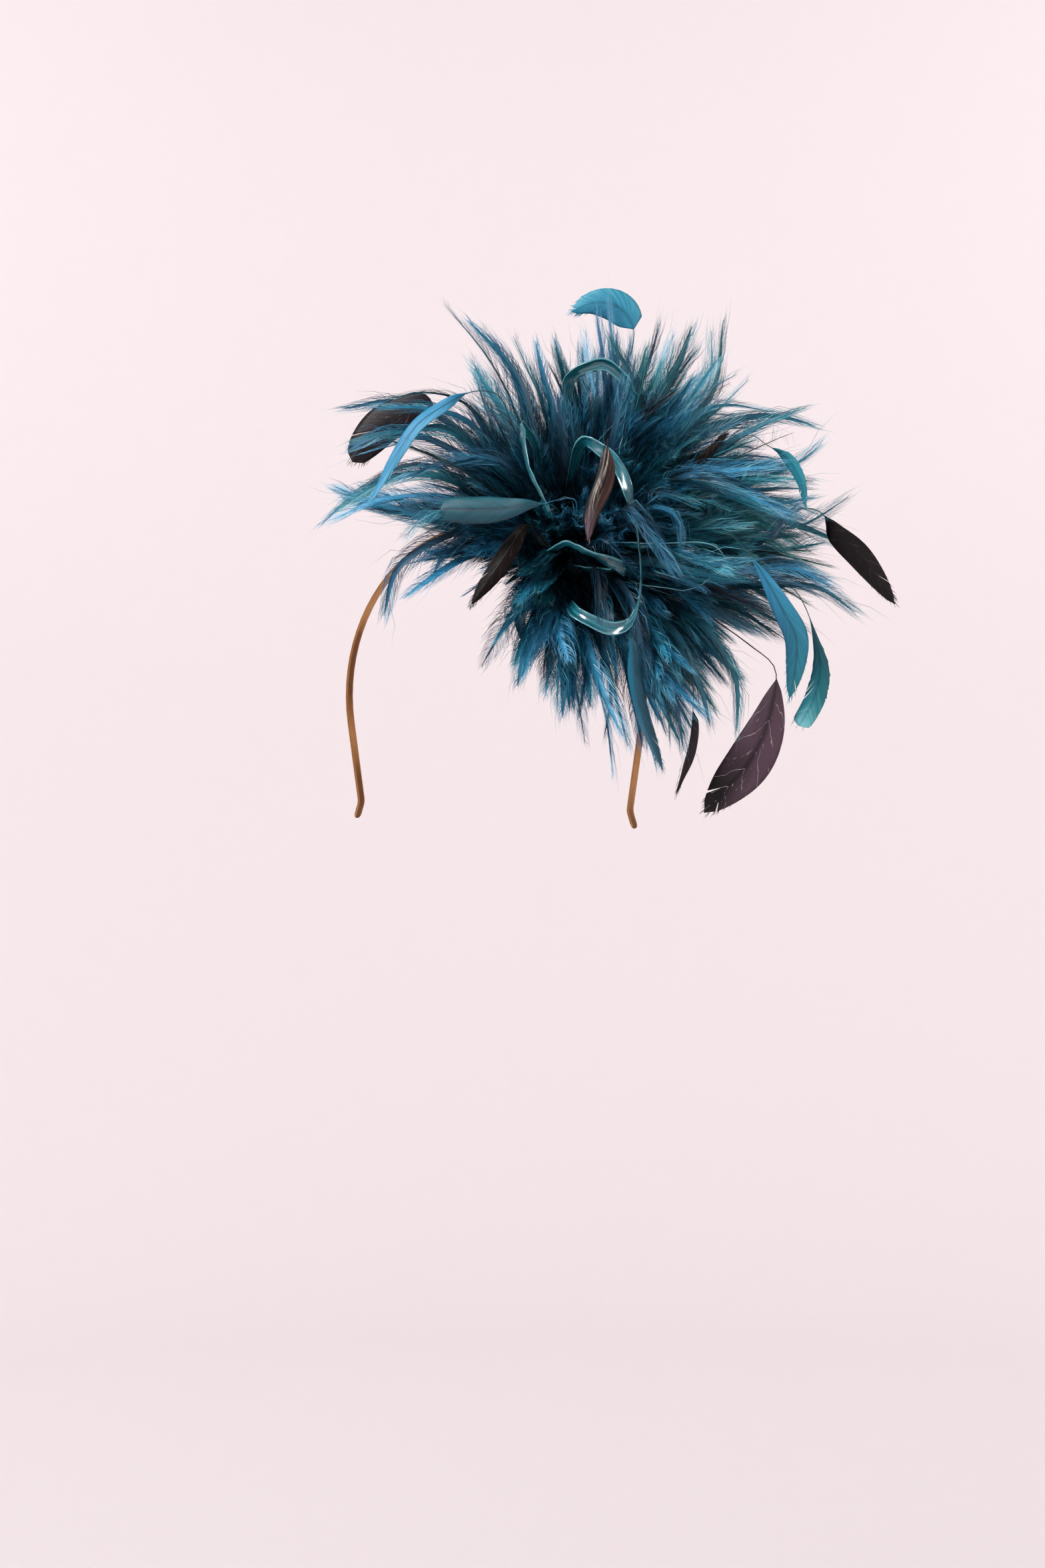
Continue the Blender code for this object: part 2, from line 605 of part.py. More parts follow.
def make_row(row, chance, placed, group, cutters, material):
    # One backing ring with its locks, fused by a union; locks turn or stop short of what is already placed
    ring = ROWS[row]
    backing = turned(ring["name"], ring_profile(ring), group, material)
    locks = new_collection(ring["name"] + "_locks", cutters)
    obstacles = tree_of(placed)
    added = []
    for number in range(ring["locks"]):
        stray = math.radians(chance.uniform(-LOCK_TURN_SPREAD, LOCK_TURN_SPREAD))
        angle = math.tau * (number + 0.5 * (row % 2)) / ring["locks"] + stray
        rise = math.radians(ring["rise"] + chance.uniform(-LOCK_RISE_SPREAD, LOCK_RISE_SPREAD))
        droop = LOCK_DROOP * (1.0 + chance.uniform(-LOCK_DROOP_SPREAD, LOCK_DROOP_SPREAD))
        choices = []
        for turn in LOCK_TURNS:
            course = lock_course(row, angle + math.radians(turn), rise, droop)
            choices.append(course[:clear_steps(course, obstacles)])
        course = max(choices, key=len)
        length = LOCK_STEP * (len(course) - 1)
        if length < LOCK_SHORTEST:
            continue
        picks = [round((len(course) - 1) * (step / LOCK_STATIONS) ** LOCK_STATION_BIAS)
                 for step in range(LOCK_STATIONS + 1)]
        path = [course[pick] for pick in picks]
        sides = lock_sides(course)
        halves = [lock_halves(LOCK_STEP * step, length) for step in range(len(course))]
        bm = bmesh.new()
        loft(bm, path, [sides[pick] for pick in picks], [halves[pick] for pick in picks], True)
        lock = finish_object(f"{ring['name']}_lock_{number}", bm, locks, material)
        lock.hide_render = True
        lock.display_type = "WIRE"
        added.extend(lens_samples(course, sides, halves))
    union = backing.modifiers.new("fuse_locks", "BOOLEAN")
    union.operation = "UNION"
    union.operand_type = "COLLECTION"
    union.collection = locks
    union.solver = "EXACT"
    placed.extend(added)


def make_plume(name, plume, group, material):
    path, length = plume_path(plume)
    sides = facing_sides(path, math.radians(plume["twist"]))
    widths = leaf_widths(len(path), length, plume)
    halves = [(width, STEM_RADIUS if width <= STEM_RADIUS else PLUME_HALF_THICKNESS) for width in widths]
    bm = bmesh.new()
    loft(bm, path, sides, halves, True)
    shade(finish_object(name, bm, group, material))
    return strip_samples(path, sides, widths)


def make_loop(name, loop, group, material):
    path, _ = loop_path(loop)
    sides = facing_sides(path, math.radians(loop["twist"]))
    halves = []
    for number in range(len(path)):
        inset = min(number, len(path) - 1 - number) / LOOP_SPREAD_STATIONS
        spread = LOOP_END_SHARE + (1.0 - LOOP_END_SHARE) * min(1.0, inset)
        halves.append((0.5 * LOOP_WIDTH * spread, 0.5 * LOOP_THICKNESS))
    bm = bmesh.new()
    loft(bm, path, sides, halves, False)
    shade(finish_object(name, bm, group, material))
    return strip_samples(path, sides, [half[0] for half in halves])


def main():
    clear_scene()
    materials = {name: make_material(name) for name in COLOURS}
    group = new_collection("feather_fascinator")
    cutters = new_collection("cutters")
    chance = random.Random(SEED)
    make_headband(group, materials["gold"])
    make_base(group, materials["felt"])
    placed = []
    for name, plume in PLUMES.items():
        placed.extend(make_plume(name, plume, group, materials[plume["colour"]]))
    for name, loop in LOOPS.items():
        placed.extend(make_loop(name, loop, group, materials["quill"]))
    for row in reversed(range(len(ROWS))):
        make_row(row, chance, placed, group, cutters, materials["hackle"])


main()
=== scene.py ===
# Feather fascinator: five rows of hackle feathers on a felt base, stripped plumes and glossy quill loops
# standing out of them, and the gold headband that carries it all. Metres, in the frame's own axes.
import math

import bmesh
import bpy
import numpy as np
from mathutils import Matrix, Vector


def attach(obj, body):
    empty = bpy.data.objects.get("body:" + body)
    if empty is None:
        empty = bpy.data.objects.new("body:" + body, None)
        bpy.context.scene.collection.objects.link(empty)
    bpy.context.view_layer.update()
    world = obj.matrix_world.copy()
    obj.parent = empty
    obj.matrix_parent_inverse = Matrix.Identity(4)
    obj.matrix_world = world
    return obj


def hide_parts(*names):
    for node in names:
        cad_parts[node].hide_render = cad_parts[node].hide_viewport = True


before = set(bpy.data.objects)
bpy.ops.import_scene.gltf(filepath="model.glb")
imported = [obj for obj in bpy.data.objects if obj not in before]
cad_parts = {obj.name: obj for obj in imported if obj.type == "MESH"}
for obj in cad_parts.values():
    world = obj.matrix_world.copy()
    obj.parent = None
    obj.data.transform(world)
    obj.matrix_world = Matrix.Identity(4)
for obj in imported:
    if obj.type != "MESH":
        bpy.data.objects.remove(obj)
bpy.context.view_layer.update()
print("frame loaded,", len(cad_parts), "nodes")

mm = 0.001
weld = 0.01 * mm
up = np.array([0.0, 0.0, 1.0])
scene = bpy.context.scene

# the camera, and the side that the feathers are arranged to be seen from
shot = {
    "turn": 32.0,        # degrees round from the front
    "tiltDown": 2.76,
    "distance": 1.4,
    "across": 0.01415,   # where it stands, to the right and above the origin
    "height": -0.0523,
    "lens": 69.64,
    "pixelsWide": 1568,
    "pixelsHigh": 2352,
    "horizon": 957,      # the pixel row that is level with the camera
    "film": 36.0,        # height of the frame in mm
    "pixelsPerMm": 3.25,     # at the origin
}
turn = math.radians(shot["turn"])
across = np.array([math.cos(turn), math.sin(turn), 0.0])
toward = np.array([math.sin(turn), -math.cos(turn), 0.0])


# vectors and curves

def unit(vectors):
    return vectors / np.maximum(np.linalg.norm(vectors, axis=-1, keepdims=True), 1e-12)


def evenCurve(points, count):
    # a smooth curve through the points, as evenly spaced ones, and its length
    ends = np.vstack([2 * points[:1] - points[1:2], points, 2 * points[-1:] - points[-2:-1]])
    a, b, c, d = ends[:-3], ends[1:-2], ends[2:-1], ends[3:]
    t = np.linspace(0, 1, 12, endpoint=False)[:, None, None]
    bow, swing = 2 * a - 5 * b + 4 * c - d, 3 * b - a - 3 * c + d
    fine = 0.5 * (2 * b + (c - a) * t + bow * t ** 2 + swing * t ** 3)
    fine = np.vstack([fine.transpose(1, 0, 2).reshape(-1, 3), points[-1:]])
    travelled = np.concatenate([[0.0], np.cumsum(np.linalg.norm(np.diff(fine, axis=0), axis=1))])
    even = np.linspace(0, travelled[-1], count)
    return spread(even, travelled, fine), travelled[-1]


def spread(places, stations, values):
    # values given at stations, read at other places between them
    return np.stack([np.interp(places, stations, values[:, k]) for k in range(values.shape[1])], axis=1)


def layAlong(flat, course, sides, length):
    # sets flat points (across, along, lift) on a course; past its end they run straight on
    stations = np.linspace(0, length, len(course))
    inside = np.clip(flat[:, 1], 0, length)
    ahead = unit(spread(inside, stations, np.gradient(course, axis=0)))
    side = spread(inside, stations, sides)
    side = unit(side - np.sum(side * ahead, axis=1, keepdims=True) * ahead)
    lift = np.cross(ahead, side)
    past = (flat[:, 1] - inside)[:, None]
    return spread(inside, stations, course) + past * ahead + flat[:, :1] * side + flat[:, 2:] * lift


def seenAt(x, y, near):
    # a place given across, up and toward the camera
    return x * across + y * up + near * toward


def fromPhoto(x, y, near):
    # the place that shows at a pixel of the photograph, at some distance toward the camera
    pixel = (shot["distance"] - near) * shot["film"] / (shot["lens"] * shot["pixelsHigh"])
    side = shot["across"] + (x - 0.5 * shot["pixelsWide"]) * pixel
    return seenAt(side, shot["height"] + (shot["horizon"] - y) * pixel, near)


def onScreen(points):
    # how far across and up points show from the camera, at the origin's depth, and how near they are
    near = points @ toward
    scale = shot["distance"] / (shot["distance"] - near)
    x, y = (points @ across - shot["across"]) * scale, (points @ up - shot["height"]) * scale
    return np.stack([x, y, near], axis=-1)


# meshes

def meshOf(bm, name, smooth=False):
    for face in bm.faces:
        face.smooth = face.smooth or smooth
    mesh = bpy.data.meshes.new(name)
    bm.to_mesh(mesh)
    bm.free()
    return mesh


def addToScene(name, data):
    thing = bpy.data.objects.new(name, data)
    scene.collection.objects.link(thing)
    return thing


def repeated(source, count):
    # the mesh repeated in place by an Array modifier, one copy after another
    thing = addToScene("repeat", source)
    repeat = thing.modifiers.new("repeat", "ARRAY")
    repeat.count = count
    repeat.use_relative_offset = False
    shape = thing.evaluated_get(bpy.context.evaluated_depsgraph_get())
    mesh = bpy.data.meshes.new_from_object(shape)
    bpy.data.objects.remove(thing)
    return mesh


def joined(name, meshes):
    bm = bmesh.new()
    for mesh in meshes:
        bm.from_mesh(mesh)
    return meshOf(bm, name)


def placesOf(mesh):
    places = np.zeros(len(mesh.vertices) * 3, np.float32)
    mesh.vertices.foreach_get("co", places)
    return places.reshape(-1, 3).astype(float)


def setPlaces(mesh, places):
    mesh.vertices.foreach_set("co", places.astype(np.float32).ravel())
    mesh.update()


def setTint(mesh, tints):
    # lightness, hue from blue to green, and accent, one colour for each point
    layer = mesh.color_attributes.new("tint", "FLOAT_COLOR", "POINT")
    filled = np.ones((len(mesh.vertices), 4), np.float32)
    filled[:, :3] = np.clip(tints, 0, 1)
    layer.data.foreach_set("color", filled.ravel())


def taperingStrip(segments):
    # a flat strip along Y whose far end is a point
    bm = bmesh.new()
    bmesh.ops.create_grid(bm, x_segments=1, y_segments=segments, size=0.5)
    far = [v for v in bm.verts if v.co.y > 0.49]
    bmesh.ops.pointmerge(bm, verts=far, merge_co=(0.0, 0.5, 0.0))
    bmesh.ops.translate(bm, verts=bm.verts, vec=(0.0, 0.5, 0.0))
    return meshOf(bm, "strip")


def unitTube(sides, steps):
    # a closed prism along Z from 0 to 1, with rings to bend it at
    bm = bmesh.new()
    bmesh.ops.create_cone(bm, cap_ends=True, segments=sides, radius1=1.0, radius2=1.0, depth=1.0)
    long = [e for e in bm.edges if abs(e.verts[0].co.z - e.verts[1].co.z) > 0.5]
    bmesh.ops.subdivide_edges(bm, edges=long, cuts=steps - 1, use_grid_fill=True)
    bmesh.ops.translate(bm, verts=bm.verts, vec=(0.0, 0.0, 0.5))
    return meshOf(bm, "tube")


def makePiece(name, mesh, materials, slot, *nodes):
    for material in materials:
        mesh.materials.append(material)
    thing = addToScene(name, mesh)
    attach(thing, "root")
    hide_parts(*nodes)


# materials

def newMaterial(name):
    material = bpy.data.materials.new(name)
    material.use_nodes = True
    return material, material.node_tree, material.node_tree.nodes["Principled BSDF"]


def feed(tree, node, inputs):
    # links the sockets among the inputs, and sets the plain values
    for key, value in inputs.items():
        if isinstance(value, bpy.types.NodeSocket):
            tree.links.new(value, node.inputs[key])
        else:
            node.inputs[key].default_value = value
    return node


def addNode(tree, kind, inputs=None, **settings):
    node = tree.nodes.new(kind)
    for key, value in settings.items():
        setattr(node, key, value)
    return feed(tree, node, inputs or {})


def addRamp(tree, factor, stops):
    ramp = addNode(tree, "ShaderNodeValToRGB", {"Fac": factor})
    while len(ramp.color_ramp.elements) < len(stops):
        ramp.color_ramp.elements.new(0.5)
    for element, (place, colour) in zip(ramp.color_ramp.elements, stops):
        element.position = place
        element.color = (*colour, 1.0)
    return ramp.outputs["Color"]


def addStep(tree, factor, low, high, top=1.0):
    # from nothing at low to the top value at high
    return addRamp(tree, factor, ((low, (0.0, 0.0, 0.0)), (high, (top, top, top))))


def addRange(tree, value, least, most, start=0.0, end=1.0):
    inputs = {"Value": value, "From Min": start, "From Max": end, "To Min": least, "To Max": most}
    return addNode(tree, "ShaderNodeMapRange", inputs).outputs["Result"]


def addNoise(tree, vector, scale, detail):
    inputs = {"Vector": vector, "Scale": scale, "Detail": detail}
    return addNode(tree, "ShaderNodeTexNoise", inputs).outputs["Fac"]


def stretchedNoise(tree, vector, stretch, detail, turned=0.0):
    inputs = {"Vector": vector, "Rotation": (0.0, 0.0, turned), "Scale": stretch}
    return addNoise(tree, addNode(tree, "ShaderNodeMapping", inputs).outputs["Vector"], 1.0, detail)


def addBump(tree, height, distance, strength):
    inputs = {"Height": height, "Distance": distance, "Strength": strength}
    return addNode(tree, "ShaderNodeBump", inputs).outputs["Normal"]


def addMath(tree, operation, first, second=0.0):
    return addNode(tree, "ShaderNodeMath", {0: first, 1: second}, operation=operation).outputs[0]


def addSwing(tree, value, share):
    # a noise turned into a swing to both sides of zero
    return addMath(tree, "MULTIPLY", addMath(tree, "SUBTRACT", value, 0.5), share)


def mixColours(tree, factor, first, second):
    inputs = {"Factor": factor, 6: first, 7: second}   # the colour sockets share their names with others
    return addNode(tree, "ShaderNodeMix", inputs, data_type="RGBA").outputs[2]


def readTint(tree):
    tint = addNode(tree, "ShaderNodeAttribute", attribute_name="tint")
    parts = addNode(tree, "ShaderNodeSeparateColor", {"Color": tint.outputs["Color"]})
    return parts.outputs["Red"], parts.outputs["Green"], parts.outputs["Blue"]


def objectPlaces(tree):
    return addNode(tree, "ShaderNodeTexCoord").outputs["Object"]


def vaneMap(tree):
    return addNode(tree, "ShaderNodeUVMap", uv_map="vane").outputs["UV"]


def partOf(tree, vector, axis):
    return addNode(tree, "ShaderNodeSeparateXYZ", {"Vector": vector}).outputs[axis]


dyes = {
    "blue": ((0.0, (0.0020, 0.0045, 0.0070)), (0.3, (0.0028, 0.023, 0.050)), (0.55, (0.005, 0.088, 0.178)),
             (0.78, (0.024, 0.24, 0.44)), (1.0, (0.22, 0.57, 0.82))),
    "green": ((0.0, (0.0018, 0.0055, 0.0060)), (0.3, (0.0020, 0.026, 0.034)), (0.55, (0.005, 0.105, 0.122)),
              (0.78, (0.020, 0.27, 0.29)), (1.0, (0.22, 0.61, 0.62))),
    "black": ((0.0, (0.0012, 0.0009, 0.0012)), (0.5, (0.006, 0.0045, 0.0055)), (0.8, (0.03, 0.024, 0.028)),
              (1.0, (0.22, 0.20, 0.20))),
    "silver": ((0.0, (0.002, 0.0016, 0.0016)), (0.52, (0.008, 0.006, 0.006)), (0.62, (0.22, 0.19, 0.16)),
               (0.74, (0.80, 0.75, 0.66))),
    "rust": ((0.0, (0.004, 0.0015, 0.001)), (0.6, (0.026, 0.008, 0.005)), (1.0, (0.09, 0.03, 0.018))),
}
purple = (0.105, 0.062, 0.088, 1.0)
brown = (0.020, 0.009, 0.006, 1.0)

# scale and strength of the slow changes of tone, and scale of the fine grain of the gloss
hackleLook = {"patches": 28.0, "swing": 0.25, "grain": 400.0, "roughness": (0.18, 0.46), "specular": 0.42}


def hackleMaterial():
    # dyed barbs: the tint carries each strand's own tone
    material, tree, shader = newMaterial("dyedHackle")
    light, hue, dark = readTint(tree)
    places = objectPlaces(tree)
    patches = addNoise(tree, places, hackleLook["patches"], 2.0)
    grain = addNoise(tree, places, hackleLook["grain"], 1.0)
    tone = addMath(tree, "ADD", light, addSwing(tree, patches, hackleLook["swing"]))
    dyed = mixColours(tree, hue, addRamp(tree, tone, dyes["blue"]), addRamp(tree, tone, dyes["green"]))
    feed(tree, shader, {
        "Base Color": mixColours(tree, dark, dyed, addRamp(tree, tone, dyes["black"])),
        "Roughness": addRange(tree, grain, *hackleLook["roughness"]),
        "Specular IOR Level": hackleLook["specular"],
    })
    return material


vaneGrain = {
    "barbs": (2.5, 190.0, 1.0),   # stretch of the fine streaks on the vane's map, across and along
    "bands": (1.6, 26.0, 1.0),
    "banding": 0.8,               # strength of the bands beside the streaks
    "bump": (0.00012, 0.7),
    "smoother": 0.12,             # how far the roughness swings down and up
    "rougher": 0.14,
}
wornLook = {
    "fleckStretch": (7.0, 30.0, 1.0),
    "fleckSlant": -0.3,
    "flecks": (0.70, 0.74),
    "cracks": 6.0,                # along a vane
    "crackBend": 0.8,
    "bendScale": 4.0,
    "crackWidth": 0.03,
    "patches": (0.44, 0.50),
    "colour": (0.42, 0.38, 0.38, 1.0),
}
vaneLooks = {
    "web": {"name": "webbedHackle", "dyes": ("blue", "green"), "accent": (0.004, 0.004, 0.005, 1.0),
            "roughness": 0.44, "streaks": 0.50, "gloss": 0.5},
    "teal": {"name": "tealVane", "dyes": ("blue", "green"), "accent": (0.012, 0.022, 0.030, 1.0),
             "roughness": 0.42, "streaks": 0.16, "gloss": 0.40},
    "black": {"name": "blackVane", "dyes": ("black", "black"), "accent": purple,
              "roughness": 0.40, "streaks": 0.30, "gloss": 0.25, "worn": 0.8},
    "creased": {"name": "creasedVane", "dyes": ("silver", "rust"), "accent": purple,
                "roughness": 0.36, "streaks": 1.0, "gloss": 0.4, "barbs": (9.0, 1.0, 1.0), "banding": 0.1},
    "brown": {"name": "brownVane", "dyes": ("black", "black"), "accent": brown,
              "roughness": 0.38, "streaks": 0.55, "gloss": 0.12, "worn": 0.4},
}


def vaneMaterial(look):
    # a smooth vane whose barbs show as fine streaks, which follow the vane's own map
    material, tree, shader = newMaterial(look["name"])
    light, hue, other = readTint(tree)
    ownMap = vaneMap(tree)
    barbs = stretchedNoise(tree, ownMap, look.get("barbs", vaneGrain["barbs"]), 3.0)
    bands = stretchedNoise(tree, ownMap, vaneGrain["bands"], 2.0)
    broad = look.get("banding", vaneGrain["banding"]) * look["streaks"]
    streaks = addMath(tree, "ADD", addSwing(tree, barbs, look["streaks"]), addSwing(tree, bands, broad))
    tone = addMath(tree, "ADD", light, streaks)
    dyed = mixColours(tree, hue, *(addRamp(tree, tone, dyes[dye]) for dye in look["dyes"]))
    colour = mixColours(tree, other, dyed, look["accent"])
    if "worn" in look:
        worn = addMath(tree, "MULTIPLY", wornPlaces(tree, ownMap, bands), hue)
        colour = mixColours(tree, addMath(tree, "MULTIPLY", worn, look["worn"]), colour, wornLook["colour"])
    least, most = look["roughness"] - vaneGrain["smoother"], look["roughness"] + vaneGrain["rougher"]
    feed(tree, shader, {
        "Base Color": colour,
        "Normal": addBump(tree, barbs, *vaneGrain["bump"]),
        "Roughness": addRange(tree, barbs, least, most),
        "Specular IOR Level": look["gloss"],
    })
    return material


def wornPlaces(tree, ownMap, bands):
    # short flecks, and fine cracks across the vane
    marks = stretchedNoise(tree, ownMap, wornLook["fleckStretch"], 1.0, wornLook["fleckSlant"])
    bends = addNoise(tree, ownMap, wornLook["bendScale"], 2.0)
    place = addMath(tree, "ADD", addMath(tree, "MULTIPLY", partOf(tree, ownMap, "Y"), wornLook["cracks"]),
                    addMath(tree, "MULTIPLY", bends, wornLook["crackBend"]))
    crack = addMath(tree, "LESS_THAN", addMath(tree, "FRACT", place), wornLook["crackWidth"])
    crack = addMath(tree, "MULTIPLY", crack, addStep(tree, bands, *wornLook["patches"]))
    return addMath(tree, "MAXIMUM", addStep(tree, marks, *wornLook["flecks"]), crack)


quillLook = {
    "patches": (9.0, 7.0, 1.0),   # stretch on the loop's map, across and along
    "tones": ((0.28, (0.002, 0.030, 0.045)), (0.5, (0.006, 0.105, 0.14)), (0.72, (0.02, 0.24, 0.29))),
    "edge": (0.42, 0.49, 0.45),   # where the paler cut edge begins and is whole, and how strong it is; the pale edge is also a painted highlight
    "paleEdgeAndHighlightColour": (0.20, 0.52, 0.60, 1.0),
    "grooves": (34.0, 5.0, 1.0),
    "bump": (0.0001, 0.25),
    "roughness": (0.14, 0.28),
    "specular": 0.9,
    "coat": 0.5,
    "coatRoughness": 0.06,
}


def quillMaterial():
    # glossy dyed quill: it darkens in patches, with fine grooves along it and paler cut edges, which are also
    # a painted highlight along the edge
    material, tree, shader = newMaterial("glossyQuill")
    ownMap = vaneMap(tree)
    patches = stretchedNoise(tree, ownMap, quillLook["patches"], 3.0)
    fromMiddle = addMath(tree, "ABSOLUTE", addMath(tree, "SUBTRACT", partOf(tree, ownMap, "X"), 0.5))
    # the paler cut edge, partly a painted highlight
    edge = addStep(tree, fromMiddle, *quillLook["edge"])
    dyed = addRamp(tree, patches, quillLook["tones"])
    grooves = stretchedNoise(tree, ownMap, quillLook["grooves"], 2.0)
    feed(tree, shader, {
        "Base Color": mixColours(tree, edge, dyed, quillLook["paleEdgeAndHighlightColour"]),
        "Normal": addBump(tree, grooves, *quillLook["bump"]),
        "Roughness": addRange(tree, patches, *quillLook["roughness"]),
        "Specular IOR Level": quillLook["specular"],
        "Coat Weight": quillLook["coat"],
        "Coat Roughness": quillLook["coatRoughness"],
    })
    return material


rachisLook = {"scale": 120.0, "shades": ((0.3, 0.55), (0.7, 1.35)), "roughness": 0.35}


def rachisMaterial(name, colour):
    # a bare quill, with a faint change of tone along it
    material, tree, shader = newMaterial(name)
    tone = addNoise(tree, objectPlaces(tree), rachisLook["scale"], 2.0)
    shades = [(place, tuple(share * part for part in colour)) for place, share in rachisLook["shades"]]
    feed(tree, shader, {"Base Color": addRamp(tree, tone, shades), "Roughness": rachisLook["roughness"]})
    return material


feltLook = {
    "fibres": 2600.0,
    "fibreShare": 0.55,
    "mottle": 160.0,
    "mottleShare": 0.45,
    "tones": ((0.32, (0.002, 0.014, 0.020)), (0.5, (0.005, 0.032, 0.044)), (0.68, (0.012, 0.062, 0.080))),
    "bump": (0.0005, 0.8),
    "roughness": 0.95,
    "sheen": 0.25,
}


def feltMaterial():
    material, tree, shader = newMaterial("tealFelt")
    places = objectPlaces(tree)
    fibres = addNoise(tree, places, feltLook["fibres"], 4.0)
    mottle = addNoise(tree, places, feltLook["mottle"], 3.0)
    tone = addMath(tree, "ADD", addMath(tree, "MULTIPLY", fibres, feltLook["fibreShare"]),
                   addMath(tree, "MULTIPLY", mottle, feltLook["mottleShare"]))
    feed(tree, shader, {
        "Base Color": addRamp(tree, tone, feltLook["tones"]),
        "Normal": addBump(tree, tone, *feltLook["bump"]),
        "Roughness": feltLook["roughness"],
        "Sheen Weight": feltLook["sheen"],
    })
    return material


goldLook = {
    "film": 55.0,                 # scale of the duller, redder film
    "tones": ((0.3, (0.42, 0.19, 0.062)), (0.7, (0.55, 0.285, 0.105))),
    "face": (1.5, 2.1),           # mm from the strip's middle line, where its face ends and with it the painted reflections
    "paintedReflections": 24.0,            # scale of the painted dark reflections on the face
    "paintedReflectionRange": (0.42, 0.60, 0.85),
    # colour of the painted dark reflections
    "dark": (0.115, 0.045, 0.016, 1.0),
    "scratches": (12.0, 2200.0, 12.0),
    "bump": (0.00002, 0.35),
    "roughness": (0.16, 0.34),
}


def goldMaterial():
    # polished strip: fine scratches along it, a film in patches, and painted dark reflections on its face,
    # between edges that keep their plain gold
    material, tree, shader = newMaterial("warmGold")
    places = objectPlaces(tree)
    film = addNoise(tree, places, goldLook["film"], 3.0)
    fromMiddle = addMath(tree, "MULTIPLY", addMath(tree, "ABSOLUTE", partOf(tree, places, "Y")), 1.0 / mm)
    face = addRange(tree, fromMiddle, 1.0, 0.0, *goldLook["face"])
    # painted dark reflections, in patches on the face
    paintedReflections = addStep(tree, addNoise(tree, places, goldLook["paintedReflections"], 0.0), *goldLook["paintedReflectionRange"])
    scratches = stretchedNoise(tree, places, goldLook["scratches"], 2.0)
    feed(tree, shader, {
        "Base Color": mixColours(tree, addMath(tree, "MULTIPLY", face, paintedReflections),
                                 addRamp(tree, film, goldLook["tones"]), goldLook["dark"]),
        "Normal": addBump(tree, scratches, *goldLook["bump"]),
        "Roughness": addRange(tree, film, *goldLook["roughness"]),
        "Metallic": 1.0,
    })
    return material


materials = {"hackle": hackleMaterial()}
for name, look in vaneLooks.items():
    materials[name] = vaneMaterial(look)
materials["quill"] = quillMaterial()
materials["tealQuill"] = rachisMaterial("tealRachis", (0.010, 0.085, 0.11))
materials["blackQuill"] = rachisMaterial("blackRachis", (0.008, 0.006, 0.007))
materials["felt"] = feltMaterial()
materials["gold"] = goldMaterial()
print("materials made:", len(materials))


# headband: the frame's own strip, in polished gold

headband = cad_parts["headband"]
headband.data.materials.clear()
headband.data.materials.append(materials["gold"])


# felt base: a shallow dome on the band's outer face, whose place is read from the frame

bandCentre = np.array([0.0, 0.0, -80.0 * mm])   # middle of the headband's arch
basePoints = placesOf(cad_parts["felt_base"].data)
baseAxis = unit(basePoints.mean(axis=0) - bandCentre)
baseOuter = np.linalg.norm(basePoints - bandCentre, axis=1).max()
baseMiddle = bandCentre + baseOuter * baseAxis
baseDown = unit(-up + (up @ baseAxis) * baseAxis)
baseAround = np.cross(baseAxis, baseDown)

feltBase = {
    "radius": 29.0 * mm,
    "thickness": 2.5 * mm,
    "steps": 96,         # round the dome
    "rings": 12,         # from its middle to its rim
    "rimSteps": 7,
    "rimBulge": 0.3,     # as a share of the thickness
    "unevenness": 0.18 * mm,
}


def turned(profile, steps, centre, outward, axis):
    # a profile of radius and height, turned about the axis; it is closed where it stays off the axis
    bm = bmesh.new()
    points = [bm.verts.new(centre + radius * outward + height * axis) for radius, height in profile]
    edges = [bm.edges.new(pair) for pair in zip(points, points[1:])]
    if profile[0][0] > 0.0:
        edges.append(bm.edges.new((points[-1], points[0])))
    bmesh.ops.spin(bm, geom=points + edges, cent=centre, axis=axis, angle=math.tau, steps=steps,
                   use_merge=True)
    bmesh.ops.remove_doubles(bm, verts=bm.verts, dist=weld)
    bmesh.ops.recalc_face_normals(bm, faces=bm.faces)
    return bm


def domeHeight(radius, outer=baseOuter):
    # height above the base's middle, on the sphere round the band's centre that has this outer radius
    return math.sqrt(outer ** 2 - radius ** 2) - baseOuter


def makeFeltBase():
    reach, wall, rings = feltBase["radius"], feltBase["thickness"], feltBase["rings"]
    inner = baseOuter - wall
    outside = [(reach * k / rings, domeHeight(reach * k / rings)) for k in range(rings)]
    bends = np.linspace(0.0, math.pi, feltBase["rimSteps"])
    rim = [(reach + feltBase["rimBulge"] * wall * math.sin(bend),
            domeHeight(reach) - 0.5 * wall * (1 - math.cos(bend))) for bend in bends]
    inside = [(r * inner / baseOuter, domeHeight(r * inner / baseOuter, inner)) for r, _ in reversed(outside)]
    bm = turned(outside + rim + inside, feltBase["steps"], baseMiddle, baseDown, baseAxis)
    chance = np.random.default_rng(3)
    for vertex in bm.verts:
        away = unit(np.array(vertex.co) - bandCentre)
        vertex.co += Vector(away * chance.uniform(-0.5, 0.5) * feltBase["unevenness"])
    makePiece("feltBase", meshOf(bm, "feltBase", smooth=True), [materials["felt"]], "felt", "felt_base")


makeFeltBase()
print("felt base made")


# plumes and loops: courses read from the frame's own lofts

